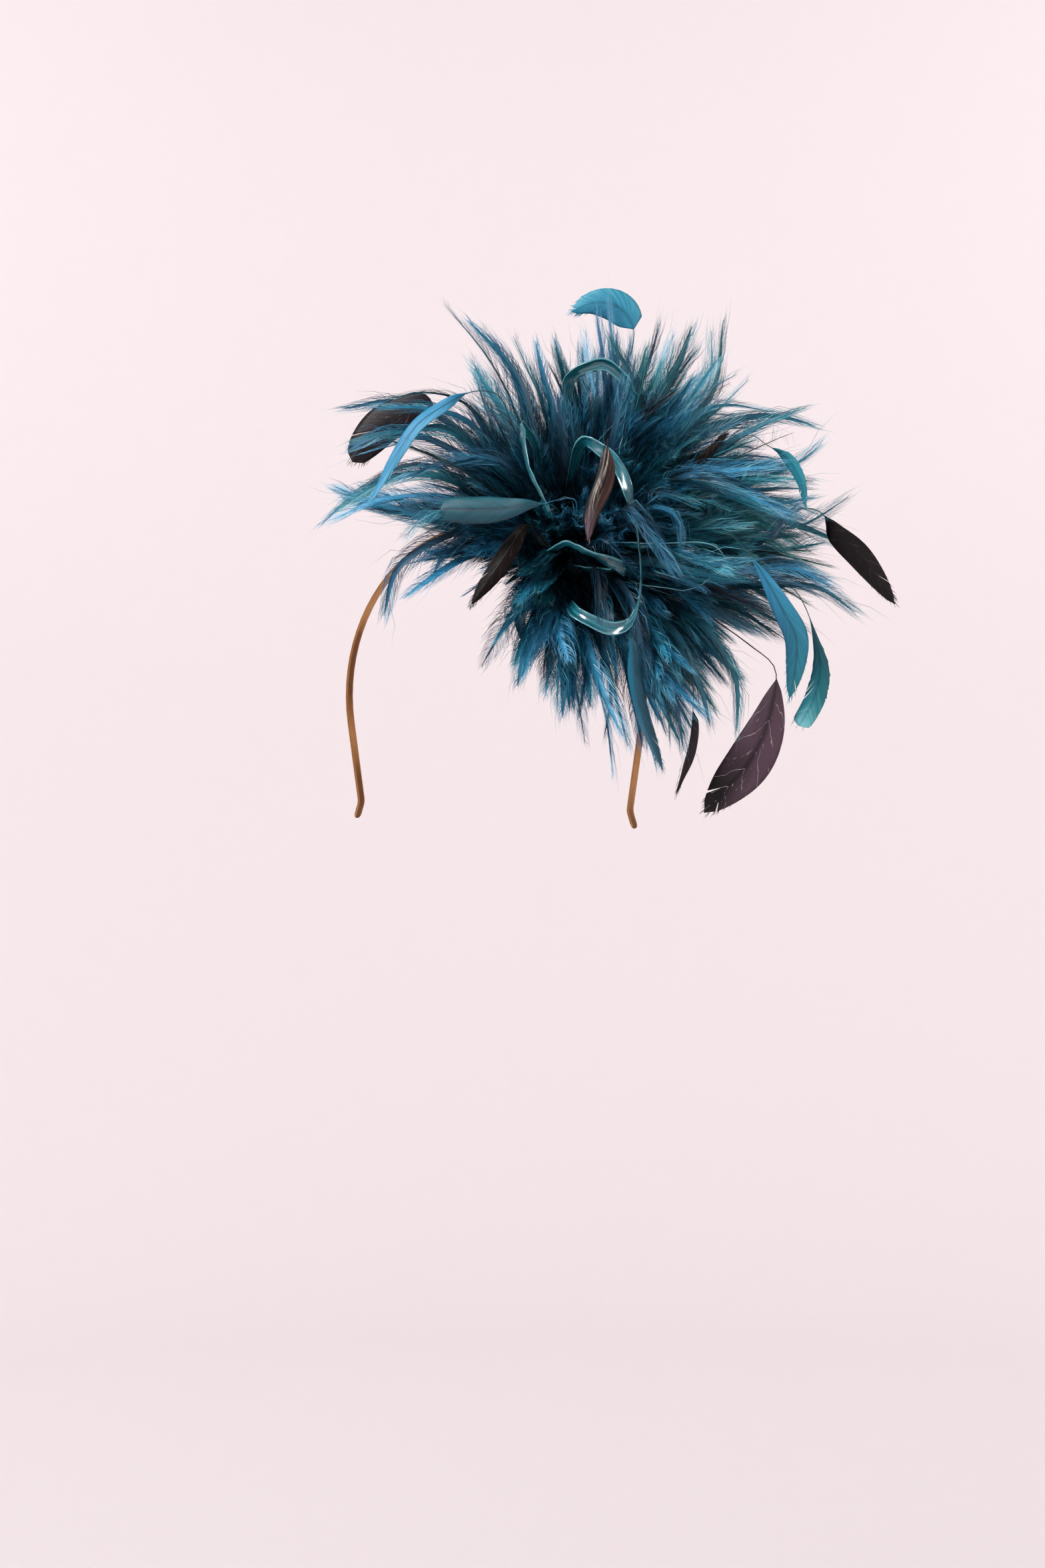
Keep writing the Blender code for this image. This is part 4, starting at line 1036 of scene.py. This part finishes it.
# feathers that stand out in the photograph: style, tone, hue, then the pixels and depth in mm it passes
placedHackles = {
    "brimHackles": (
        ("slender", 0.50, 0.10, (690, 800, 55), (600, 850, 60), (576, 925, 60)),
        ("combed", 0.56, 0.05, (730, 790, 60), (670, 830, 66), (648, 870, 66)),
        ("combed", 0.42, 0.20, (640, 700, 30), (540, 740, 30), (482, 789, 30)),
        ("combed", 0.55, 0.70, (690, 728, 70), (600, 716, 72), (507, 766, 72)),
        ("slender", 0.70, 0.00, (690, 752, 74), (580, 750, 76), (500, 781, 76)),
        ("wispy", 0.72, 0.50, (690, 768, 78), (640, 776, 80), (606, 809, 80)),
        ("bare", 0.15, 0.30, (676, 817, 84), (629, 786, 86)),
        ("bare", 0.10, 0.30, (695, 785, 96), (672, 803, 96)),
        ("bare", 0.02, 0.30, (745, 930, 78), (722, 957, 78)),
        ("wispy", 0.40, 0.10, (780, 900, 70), (745, 960, 74), (722, 1000, 74)),
        ("slender", 0.55, 0.05, (870, 960, 86), (905, 1060, 92), (919, 1160, 90)),
        ("wispy", 0.60, 0.10, (850, 950, 80), (865, 1040, 86), (878, 1115, 84)),
        ("slender", 0.45, 0.30, (970, 950, 90), (1010, 1040, 92), (1026, 1128, 88)),
        ("combed", 0.52, 0.60, (1040, 930, 84), (1100, 1010, 86), (1106, 1098, 84)),
        ("slender", 0.50, 0.45, (1120, 880, 60), (1220, 880, 58), (1284, 920, 56)),
        ("full", 0.56, 0.15, (830, 920, 84), (846, 1000, 88), (844, 1078, 86)),
        ("full", 0.50, 0.25, (890, 950, 88), (915, 1030, 92), (906, 1108, 90)),
        ("full", 0.60, 0.10, (925, 950, 90), (950, 1030, 94), (958, 1100, 92)),
        ("combed", 0.46, 0.50, (975, 950, 88), (1000, 1040, 92), (1004, 1112, 90)),
        ("full", 0.50, 0.55, (1000, 940, 84), (1046, 1020, 88), (1066, 1092, 86)),
        ("full", 0.44, 0.10, (780, 920, 78), (790, 970, 82), (776, 1030, 82)),
    ),
    "outerHackles": (
        ("combed", 0.38, 0.15, (690, 650, 20), (600, 606, 18), (514, 616, 16)),
        ("combed", 0.70, 0.55, (690, 655, 60), (606, 648, 62), (531, 661, 62)),
        ("full", 0.52, 0.25, (720, 652, 64), (640, 617, 66), (560, 615, 66)),
        ("slender", 0.42, 0.60, (720, 630, 60), (650, 592, 62), (586, 601, 62)),
        ("combed", 0.64, 0.10, (660, 668, 60), (590, 671, 62), (545, 683, 62)),
        ("slender", 0.48, 0.05, (700, 690, 40), (600, 650, 44), (528, 672, 44)),
        ("wispy", 0.46, 0.25, (780, 640, 30), (735, 545, 26), (667, 460, 22)),
        ("wispy", 0.56, 0.15, (790, 640, 30), (760, 545, 26), (722, 495, 24)),
        ("combed", 0.50, 0.20, (800, 650, 34), (770, 560, 30), (702, 484, 26)),
        ("combed", 0.66, 0.10, (830, 640, 40), (815, 570, 38), (803, 515, 36)),
        ("wispy", 0.70, 0.60, (820, 640, 50), (792, 560, 50), (770, 508, 48)),
        ("wispy", 0.66, 0.40, (786, 660, 50), (736, 590, 48), (706, 540, 46)),
        ("full", 0.62, 0.55, (1000, 650, 52), (1042, 592, 52), (1076, 540, 50)),
        ("wispy", 0.72, 0.65, (975, 640, 54), (998, 570, 54), (1012, 512, 52)),
        ("wispy", 0.60, 0.60, (1030, 665, 50), (1082, 612, 50), (1122, 572, 48)),
        ("full", 0.46, 0.75, (990, 680, 30), (1066, 590, 26), (1083, 484, 22)),
        ("wispy", 0.66, 0.60, (1010, 650, 34), (1062, 580, 30), (1066, 500, 26)),
        ("wispy", 0.50, 0.40, (1000, 640, 40), (1060, 590, 38), (1103, 565, 36)),
        ("slender", 0.52, 0.30, (1010, 660, 50), (1075, 612, 50), (1161, 621, 48)),
        ("combed", 0.42, 0.40, (1020, 672, 50), (1100, 634, 50), (1160, 626, 48), (1222, 641, 46)),
        ("slender", 0.52, 0.35, (1100, 740, 50), (1190, 700, 50), (1232, 668, 48)),
        ("wispy", 0.50, 0.50, (1110, 800, 56), (1200, 790, 56), (1272, 747, 54)),
        ("combed", 0.32, 0.10, (1140, 812, 80), (1170, 783, 82), (1202, 752, 82)),
        ("slender", 0.58, 0.05, (1090, 860, 80), (1180, 850, 82), (1246, 880, 80)),
        ("slender", 0.66, 0.00, (1020, 720, 86), (1100, 735, 90), (1185, 775, 88)),
        ("slender", 0.70, 0.05, (1030, 715, 86), (1090, 708, 90), (1170, 700, 88)),
    ),
    "middleHackles": (
        ("full", 0.86, 0.05, (926, 640, 50), (920, 560, 54), (910, 450, 54)),
        ("full", 0.94, 0.00, (904, 630, 48), (903, 555, 52), (893, 470, 52)),
        ("full", 0.34, 0.20, (880, 660, 34), (872, 610, 34), (864, 566, 32)),
        ("full", 0.42, 0.30, (925, 690, 72), (938, 620, 82), (953, 535, 86)),
        ("slender", 0.50, 0.15, (905, 705, 74), (920, 650, 82), (938, 570, 84)),
        ("full", 0.40, 0.10, (842, 700, 64), (844, 650, 72), (836, 592, 76)),
        ("wispy", 0.52, 0.20, (860, 700, 66), (858, 650, 74), (856, 604, 78)),
        ("full", 0.30, 0.05, (892, 660, 34), (890, 610, 34), (889, 560, 32)),
        ("full", 0.36, 0.30, (905, 660, 34), (910, 610, 34), (915, 572, 32)),
        ("wispy", 0.92, 0.10, (890, 620, 48), (884, 560, 50), (878, 500, 50)),
        ("wispy", 0.90, 0.15, (930, 620, 48), (942, 560, 50), (944, 500, 50)),
        ("wispy", 0.86, 0.20, (960, 630, 50), (985, 560, 48), (1010, 505, 46)),
        ("combed", 0.34, 0.70, (965, 650, 60), (950, 575, 62), (912, 508, 60)),
        ("full", 0.44, 0.60, (950, 640, 40), (1010, 560, 40), (1037, 492, 38)),
        ("combed", 0.82, 0.20, (985, 640, 60), (1020, 598, 60), (1050, 565, 58)),
        ("slender", 0.36, 0.25, (930, 640, 40), (970, 550, 40), (988, 490, 38)),
        ("combed", 0.60, 0.15, (860, 640, 50), (845, 570, 48), (831, 510, 46)),
        ("slender", 0.50, 0.10, (760, 700, 80), (690, 690, 84), (600, 720, 84)),
        ("combed", 0.28, 0.70, (700, 712, 88), (640, 682, 90), (571, 658, 90)),
        ("combed", 0.54, 0.05, (960, 770, 104), (1000, 768, 112), (1018, 785, 114), (1022, 836, 112)),
        ("down", 0.50, 0.05, (950, 780, 100), (985, 745, 104), (1025, 755, 104)),
        ("down", 0.46, 0.05, (900, 810, 110), (930, 835, 112), (960, 872, 110)),
        ("slender", 0.46, 0.05, (936, 764, 118), (975, 802, 120), (1013, 860, 118)),
        ("slender", 0.42, 0.00, (895, 863, 110), (898, 936, 112)),
        ("slender", 0.48, 0.10, (940, 890, 96), (960, 960, 100), (972, 1030, 98)),
        ("combed", 0.50, 0.30, (905, 905, 90), (910, 960, 96), (924, 1009, 96)),
        ("bare", 0.90, 0.20, (863, 751, 112), (809, 758, 112)),
        ("full", 0.42, 0.50, (985, 846, 110), (1050, 862, 116), (1120, 872, 112)),
        ("slender", 0.48, 0.30, (1010, 826, 112), (1064, 846, 116), (1118, 846, 112)),
    ),
}
pompom = {
    "middle": (45.8, -11.4),     # as the camera's side sees it, across and up
    "front": 124.0,              # the nearest that a feather comes
    "longest": 132.0,
    "shortest": 34.0,
    "droop": 2.2,
    "archGap": 3.0,
    "archHalfDepth": 97.0,
    "hollow": (882, 872),        # the dark gap between the feathers, in the photograph's pixels
    "hollowSize": 12.5,          # its half width, and how near a feather comes before it hides it
    "hollowFront": 50.0,
    # half width in mm of the painted shade round the hollow
    "hollowShade": 15.0,
    # pale gaps at the pompom's edge: middle, half width and half height in pixels
    "gaps": ((672, 806, 58, 13), (560, 796, 60, 16), (560, 712, 40, 8), (694, 925, 26, 26),
             (760, 575, 12, 30)),
    "clearance": 5.5,            # kept round the plumes and loops
    "tuft": 5,                   # feathers that stand together
    "tries": 10,                 # for each feather, to leave in sight what stands out
    "crowding": 0.45,            # how much closer the tufts stand on one side
    "crowdedSide": 53.0,         # which side, degrees round the base from its lowest point
    "sunk": 1.2,                 # how far below its ring's top a quill begins
    # reach from the middle by direction, degrees from the right, counter-clockwise
    "outline": {0: 118, 30: 111, 45: 98, 60: 112, 90: 96, 120: 114, 150: 124, 176: 120, 200: 98,
                222: 66, 245: 72, 265: 87, 285: 104, 300: 99, 325: 97, 345: 116, 360: 118},
}
tuftShape = {
    "stagger": 0.6,              # of the space that a tuft has
    "longReach": (0.92, 1.02),   # as shares of the way to the outline
    "shortReach": (0.60, 0.92),
    "long": 0.2,                 # of the tufts have the long reach, and more of those that point up or down
    "longUpright": 0.4,
    "openFrom": -0.45,           # how far left a tuft points before it may stay shorter still
    "open": 0.65,                # share of these that do
    "openReach": 0.58,
    "droop": (0.1, 1.5),
    "curl": (-6, 22),
    "sway": 1.7,
    "swirl": 14,
    "hue": 0.28,
    "tone": 0.05,
    "tones": (-0.13, -0.05, 0.0, 0.05, 0.14),
    "alike": 0.7,                # share of its feathers that have the tuft's own style
}
# how far a feather departs from its tuft
departure = {"angle": 0.11, "rise": 0.08, "droop": 0.2, "curl": 5, "sway": 0.5, "swirl": 6,
             "reach": (0.84, 1.04), "tone": 0.04, "hue": 0.08}
feather = {
    "wide": (0.7, 1.25),         # times its master's width, and the same for a feather whose course is listed
    "placedWide": 1.1,
    "cup": (0.0, 0.02),
    "flutter": (0.3, 1.2),
    "ripple": (7, 13),
    "towardCamera": (0.0, 0.9),
    "turned": 0.4,
    "spin": 0.5,
    "span": 110.0,               # mm from the middle over which the tone and hue change
    "tone": 0.52,
    "toneUp": -0.05,
    "hue": 0.26,
    "hueAcross": 0.42,
    "hueUp": 0.15,
    "deepest": 56.0,             # mm from the base within which it gets painted shade
    "paintedShadeTone": 0.40,
    "paintedRootShade": 0.26,
    "paintedTipLight": 0.13,
    "strandAndGlintTone": 0.14,
    "strandHue": 0.08,
    "paintedFringeLight": 0.34,
    "blackShare": 0.06,
    "black": 0.9,
}


def rayRoundBase(angle, rise=0.0):
    flat = math.cos(angle) * baseDown + math.sin(angle) * baseAround
    return math.cos(rise) * flat + math.sin(rise) * baseAxis


def rootOf(row, angle, radius):
    return baseMiddle + radius * rayRoundBase(angle) + (row["top"] - pompom["sunk"]) * mm * baseAxis


def outsideArch(points, gap):
    # moves points that would lie inside the band's arch out to its edge and a gap
    offset = points - bandCentre
    width, depth = baseOuter - feltBase["thickness"] + gap, pompom["archHalfDepth"] * mm + gap
    size = np.sqrt((offset[:, 0] ** 2 + offset[:, 2] ** 2) / width ** 2 + offset[:, 1] ** 2 / depth ** 2)
    return bandCentre + offset / np.minimum(size, 1.0)[:, None]


def fromPompom(point):
    # how far right of and above the pompom's middle a point shows, in mm
    return point @ across / mm - pompom["middle"][0], point @ up / mm - pompom["middle"][1]


def insideOutline(points):
    x, y = fromPompom(points)
    outline = pompom["outline"]
    reach = np.interp(np.degrees(np.arctan2(y, x)) % 360.0, list(outline), list(outline.values()))
    return (np.hypot(x, y) <= reach) & (points @ toward <= pompom["front"] * mm)


def startTuft(row, number, tufts, chance):
    # what the feathers of one tuft share
    even = math.tau * (number + chance.uniform(-tuftShape["stagger"], tuftShape["stagger"])) / tufts
    angle = even - pompom["crowding"] * math.sin(even - math.radians(pompom["crowdedSide"]))
    ray = rayRoundBase(angle)
    long = chance.random() < tuftShape["long"] + tuftShape["longUpright"] * abs(ray @ up)
    reach = chance.uniform(*tuftShape["longReach" if long else "shortReach"])
    if ray @ across < tuftShape["openFrom"] and chance.random() < tuftShape["open"]:
        reach *= tuftShape["openReach"]
    return {
        "angle": angle,
        "rise": math.radians(row["rise"] + chance.normal(0, row["riseSpread"])),
        "droop": chance.uniform(*tuftShape["droop"]),
        "curl": chance.uniform(*tuftShape["curl"]),
        "sway": chance.normal(0, tuftShape["sway"]),
        "swirl": chance.normal(0, tuftShape["swirl"]),
        "reach": reach,
        "hue": chance.normal(0, tuftShape["hue"]),
        "tone": chance.normal(0, tuftShape["tone"]) + chance.choice(tuftShape["tones"]),
    }


def hackleCourse(row, tuft, chance):
    # a feather's quill, from its ring outward until it leaves the pompom's outline
    def near(name):
        return tuft[name] + chance.normal(0, departure[name])

    angle, rise = near("angle"), near("rise")
    whole = row["inner"] == 0.0
    radius = row["outer"] * math.sqrt(chance.random()) if whole else 0.5 * (row["inner"] + row["outer"])
    root = rootOf(row, angle, radius * mm)
    ray = rayRoundBase(angle, rise)
    side = unit(np.cross(ray, baseAxis))
    reach = np.arange(0.0, pompom["longest"], 2.5)[:, None] * mm
    droop = pompom["droop"] * near("droop") * reach ** 2
    droop += near("curl") * reach ** 3
    sway = near("sway") * reach ** 2 + near("swirl") * reach ** 3
    points = outsideArch(root + reach * ray - droop * up + sway * side, pompom["archGap"] * mm)
    leaves = ~insideOutline(points) & (reach[:, 0] > pompom["shortest"] * mm)
    end = int(np.argmax(leaves)) if leaves.any() else len(points)
    end = min(max(8, int(end * tuft["reach"] * chance.uniform(*departure["reach"]))), len(points))
    return evenCurve(points[:end:3] if end > 12 else points[:end], 14)


def offPixel(seen, x, y):
    # how far points on the screen lie from a pixel of the photograph
    return seen[:, :2] - onScreen(fromPhoto(x, y, 0.0)[None])[0, :2]


def coversStanding(course):
    # how much of the plumes, the loops and the gaps between the feathers a feather would hide
    seen = onScreen(course[3:])
    away = np.linalg.norm(seen[:, None, :2] - standingSeen[None, :, :2], axis=2)
    ahead = seen[:, None, 2] > standingSeen[None, :, 2] - 2.0 * mm
    inHollow = np.hypot(*(offPixel(seen, *pompom["hollow"]) / mm / pompom["hollowSize"]).T) < 1.0
    inGaps = 0
    for x, y, wide, high in pompom["gaps"]:
        offset = np.abs(offPixel(seen, x, y)) / mm * shot["pixelsPerMm"]
        inGaps += int(np.sum(np.hypot(offset[:, 0] / wide, offset[:, 1] / high) < 1.0))
    hidden = int(np.sum((away < pompom["clearance"] * mm) & ahead))
    return hidden + 2 * int(np.sum(inHollow & (seen[:, 2] > pompom["hollowFront"] * mm))) + 2 * inGaps


def placedCourse(row, points):
    # a feather through given pixels, from the side of its ring that faces them
    through = [fromPhoto(x, y, near * mm) for x, y, near in points]
    toFirst = through[0] - baseMiddle
    angle = math.atan2(toFirst @ baseAround, toFirst @ baseDown)
    root = rootOf(row, angle, 0.5 * (row["inner"] + row["outer"]) * mm)
    return evenCurve(np.array([root, *through]), 20)


def clearCourse(row, tuft, number, tufts, chance):
    # the first course that hides nothing that stands out, or the best of a few; a miss moves the tuft
    best = None
    for _ in range(pompom["tries"]):
        course, length = hackleCourse(row, tuft, chance)
        covered = coversStanding(course)
        if best is None or covered < best[0]:
            best = (covered, course, length)
        if covered < 2:
            break
        tuft = startTuft(row, number, tufts, chance)
    return best[1], best[2], tuft


def makeRow(name, row, masters, chance):
    styles = row["styles"].split()
    picks = [index for index, (style, _) in enumerate(masters) if style in styles]
    copies = {index: [] for index in range(len(masters))}
    for style, tone, hue, *points in placedHackles.get(name, ()):
        index = next(k for k, (made, _) in enumerate(masters) if made == style)
        course, length = placedCourse(row, points)
        copies[index].append(placeFeather(masters[index][1], course, length, chance, tone, hue, True))
    tufts = row["feathers"] // pompom["tuft"]
    for number in range(tufts):
        tuft = startTuft(row, number, tufts, chance)
        style = styles[int(chance.integers(len(styles)))]
        alike = [index for index in picks if masters[index][0] == style]
        for _ in range(pompom["tuft"]):
            course, length, tuft = clearCourse(row, tuft, number, tufts, chance)
            among = alike if chance.random() < tuftShape["alike"] else picks
            index = among[int(chance.integers(len(among)))]
            tone, hue = (tuft[key] + chance.normal(0, departure[key]) for key in ("tone", "hue"))
            copies[index].append(placeFeather(masters[index][1], course, length, chance, tone, hue))
    meshes = []
    for index, feathers in copies.items():
        if feathers:
            mesh = repeated(masters[index][1]["mesh"], len(feathers))
            setPlaces(mesh, np.vstack([places for places, _ in feathers]))
            setTint(mesh, np.vstack([tints for _, tints in feathers]))
            meshes.append(mesh)
    whole = joined(name, meshes + [makeRing(row)])
    makePiece(name, whole, [materials["hackle"], materials["web"], materials["felt"]], "hackle", row["node"])
    triangles = sum(len(face.vertices) - 2 for face in whole.polygons)
    print(name, "made,", row["feathers"], "feathers,", triangles, "triangles")


def placeFeather(master, course, length, chance, tone, hue, placed=False):
    # a master's points, bent along the course, and their tints
    flat = master["flat"].copy()
    wide = chance.uniform(*feather["wide"])
    flat[:, 0] *= feather["placedWide"] if placed else wide
    flat[:, 1] *= length / mm / hackleShape["length"]
    cup = chance.uniform(*feather["cup"])
    flutter = chance.uniform(*feather["flutter"])
    flutter = flutter * np.sin(flat[:, 1] / chance.uniform(*feather["ripple"]) + chance.uniform(0, 6))
    flat[:, 2] += flutter * np.abs(flat[:, 0]) / 8.0 - cup * flat[:, 0] ** 2
    ahead = unit(np.gradient(course, axis=0))
    facing = baseAxis + chance.uniform(*feather["towardCamera"]) * toward
    sides = unit(np.cross(ahead, unit(facing + chance.normal(0, feather["turned"], 3))))
    spin = (chance.normal(0, feather["spin"]) * np.linspace(0, 1, len(course)))[:, None]
    places = layAlong(flat * mm, course, np.cos(spin) * sides + np.sin(spin) * np.cross(ahead, sides), length)
    if not placed:
        x, y = (part / feather["span"] for part in fromPompom(course[len(course) // 2]))
        hue += feather["hue"] + feather["hueAcross"] * x + feather["hueUp"] * y
        tone += feather["tone"] + feather["toneUp"] * y
    along = master["stem"]
    # painted shade deep in the pompom near the base, and round the hollow between the feathers
    paintedShade = np.exp(-(np.linalg.norm(places - baseMiddle, axis=1) / (feather["deepest"] * mm)) ** 2)
    offHollow = offPixel(onScreen(places), *pompom["hollow"])
    paintedShade += 0.8 * np.exp(-np.sum(offHollow ** 2, axis=1) / (pompom["hollowShade"] * mm) ** 2)
    # painted shade darkens each feather toward its root, and painted light brightens it toward its thin tip
    light = tone - feather["paintedRootShade"] * (1.0 - along) ** 1.6 + feather["paintedTipLight"] * along
    # strand tones, among them the painted glints
    light += feather["strandAndGlintTone"] * master["strand"] - feather["paintedShadeTone"] * paintedShade
    # painted light through the thin outer ends of the barbs
    light += feather["paintedFringeLight"] * master["out"] ** 2 * along ** 0.7
    dark = feather["black"] * (chance.random() < feather["blackShare"] and not placed) + np.zeros_like(light)
    return places, np.stack([light, hue + feather["strandHue"] * master["strand"], dark], axis=1)


def makeRing(row):
    # the stitched band that a row's quills are bound in
    inner, outer, top = (row[key] * mm for key in ("inner", "outer", "top"))
    seat = 0.3 * mm      # above the felt
    bottom = domeHeight(outer) + seat
    if row["inner"]:
        profile = [(outer, top), (outer, bottom), (inner, domeHeight(inner) + seat), (inner, top)]
    else:
        profile = [(0.0, top), (0.7 * outer, top - 0.8 * mm), (outer, top - 3.0 * mm), (outer, bottom),
                   (0.0, seat)]
    mesh = meshOf(turned(profile, 48, baseMiddle, baseDown, baseAxis), "ring", smooth=True)
    setTint(mesh, np.full((len(mesh.vertices), 3), 0.2))
    for face in mesh.polygons:
        face.material_index = 2
    return mesh


standingSeen = onScreen(standing)
chance = np.random.default_rng(5)
masters = [(name, makeMaster(style, rachisTone, chance)) for name, style in hackleStyles.items()
           for rachisTone in hackleShape["rachisTones"]]
for name, row in hackleRows.items():
    makeRow(name, row, masters, chance)


# pale round room with soft lights, and the camera

room = {
    "floor": -0.8,
    "radius": 2.5,
    "height": 3.2,       # of the wall above the floor
    "curve": 0.7,        # where the floor bends up into the wall
    "colour": (0.82, 0.775, 0.785, 1.0),
    "roughness": 0.9,
}
# where each stands and aims: across, up and toward the camera, in metres
middle = (0.0, 0.0, 0.0)
lights = {
    "key": {"from": (-1.1, 1.2, 1.1), "at": middle, "size": 0.7, "power": 42.0, "colour": (1.0, 0.98, 0.97)},
    "fill": {"from": (1.6, 0.4, 1.0), "at": middle, "size": 1.2, "power": 5.0, "colour": (1.0, 0.95, 0.95)},
}
for name, side in (("backLeft", -1), ("backRight", 1)):
    lights[name] = {"from": (1.3 * side, 0.9, -1.1), "at": (0.4 * side, -0.1, -2.5), "size": 0.8,
                    "power": 9.4, "colour": (1.0, 0.96, 0.97)}
sky = {"colour": (1.0, 0.95, 0.95, 1.0), "strength": 0.26}


def makeRoom():
    # wide enough that the camera stays inside it as it goes round
    radius, curve = room["radius"], room["curve"]
    bends = np.linspace(0, math.pi / 2, 17)
    profile = [(0.0, 0.0), *((radius - curve * (1 - math.sin(b)), curve * (1 - math.cos(b))) for b in bends),
               (radius, room["height"])]
    bm = turned(profile, 72, np.array([0.0, 0.0, room["floor"]]), np.array([1.0, 0.0, 0.0]), up)
    for face in bm.faces:
        if face.normal.dot(face.calc_center_median() - Vector((0, 0, 1.0))) > 0.0:
            face.normal_flip()
    mesh = meshOf(bm, "room", smooth=True)
    material, tree, shader = newMaterial("paleRoom")
    feed(tree, shader, {"Base Color": room["colour"], "Roughness": room["roughness"]})
    mesh.materials.append(material)
    backdrop = addToScene("room", mesh)


def lookAt(thing, place, target):
    back = unit(place - target)
    right = unit(np.cross(up, back))
    rows = np.stack([right, np.cross(back, right), back, place], axis=1)
    thing.matrix_world = Matrix([*rows.tolist(), [0.0, 0.0, 0.0, 1.0]])


def makeLights():
    for name, look in lights.items():
        lamp = bpy.data.lights.new(name, "AREA")
        lamp.size, lamp.energy, lamp.color = look["size"], look["power"], look["colour"]
        lookAt(addToScene(name, lamp), seenAt(*look["from"]), seenAt(*look["at"]))
    scene.world = bpy.data.worlds.new("sky")
    scene.world.use_nodes = True
    tree = scene.world.node_tree
    feed(tree, tree.nodes["Background"], {"Color": sky["colour"], "Strength": sky["strength"]})


def makeCamera():
    camera = bpy.data.cameras.new("camera")
    camera.lens = shot["lens"]
    thing = addToScene("camera", camera)
    place = seenAt(shot["across"], shot["height"], shot["distance"])
    fall = math.radians(shot["tiltDown"])
    lookAt(thing, place, place - math.cos(fall) * toward - math.sin(fall) * up)
    scene.camera = thing


makeRoom()
makeLights()
makeCamera()
scene.view_settings.view_transform = "Standard"
print("room, lights and camera made")
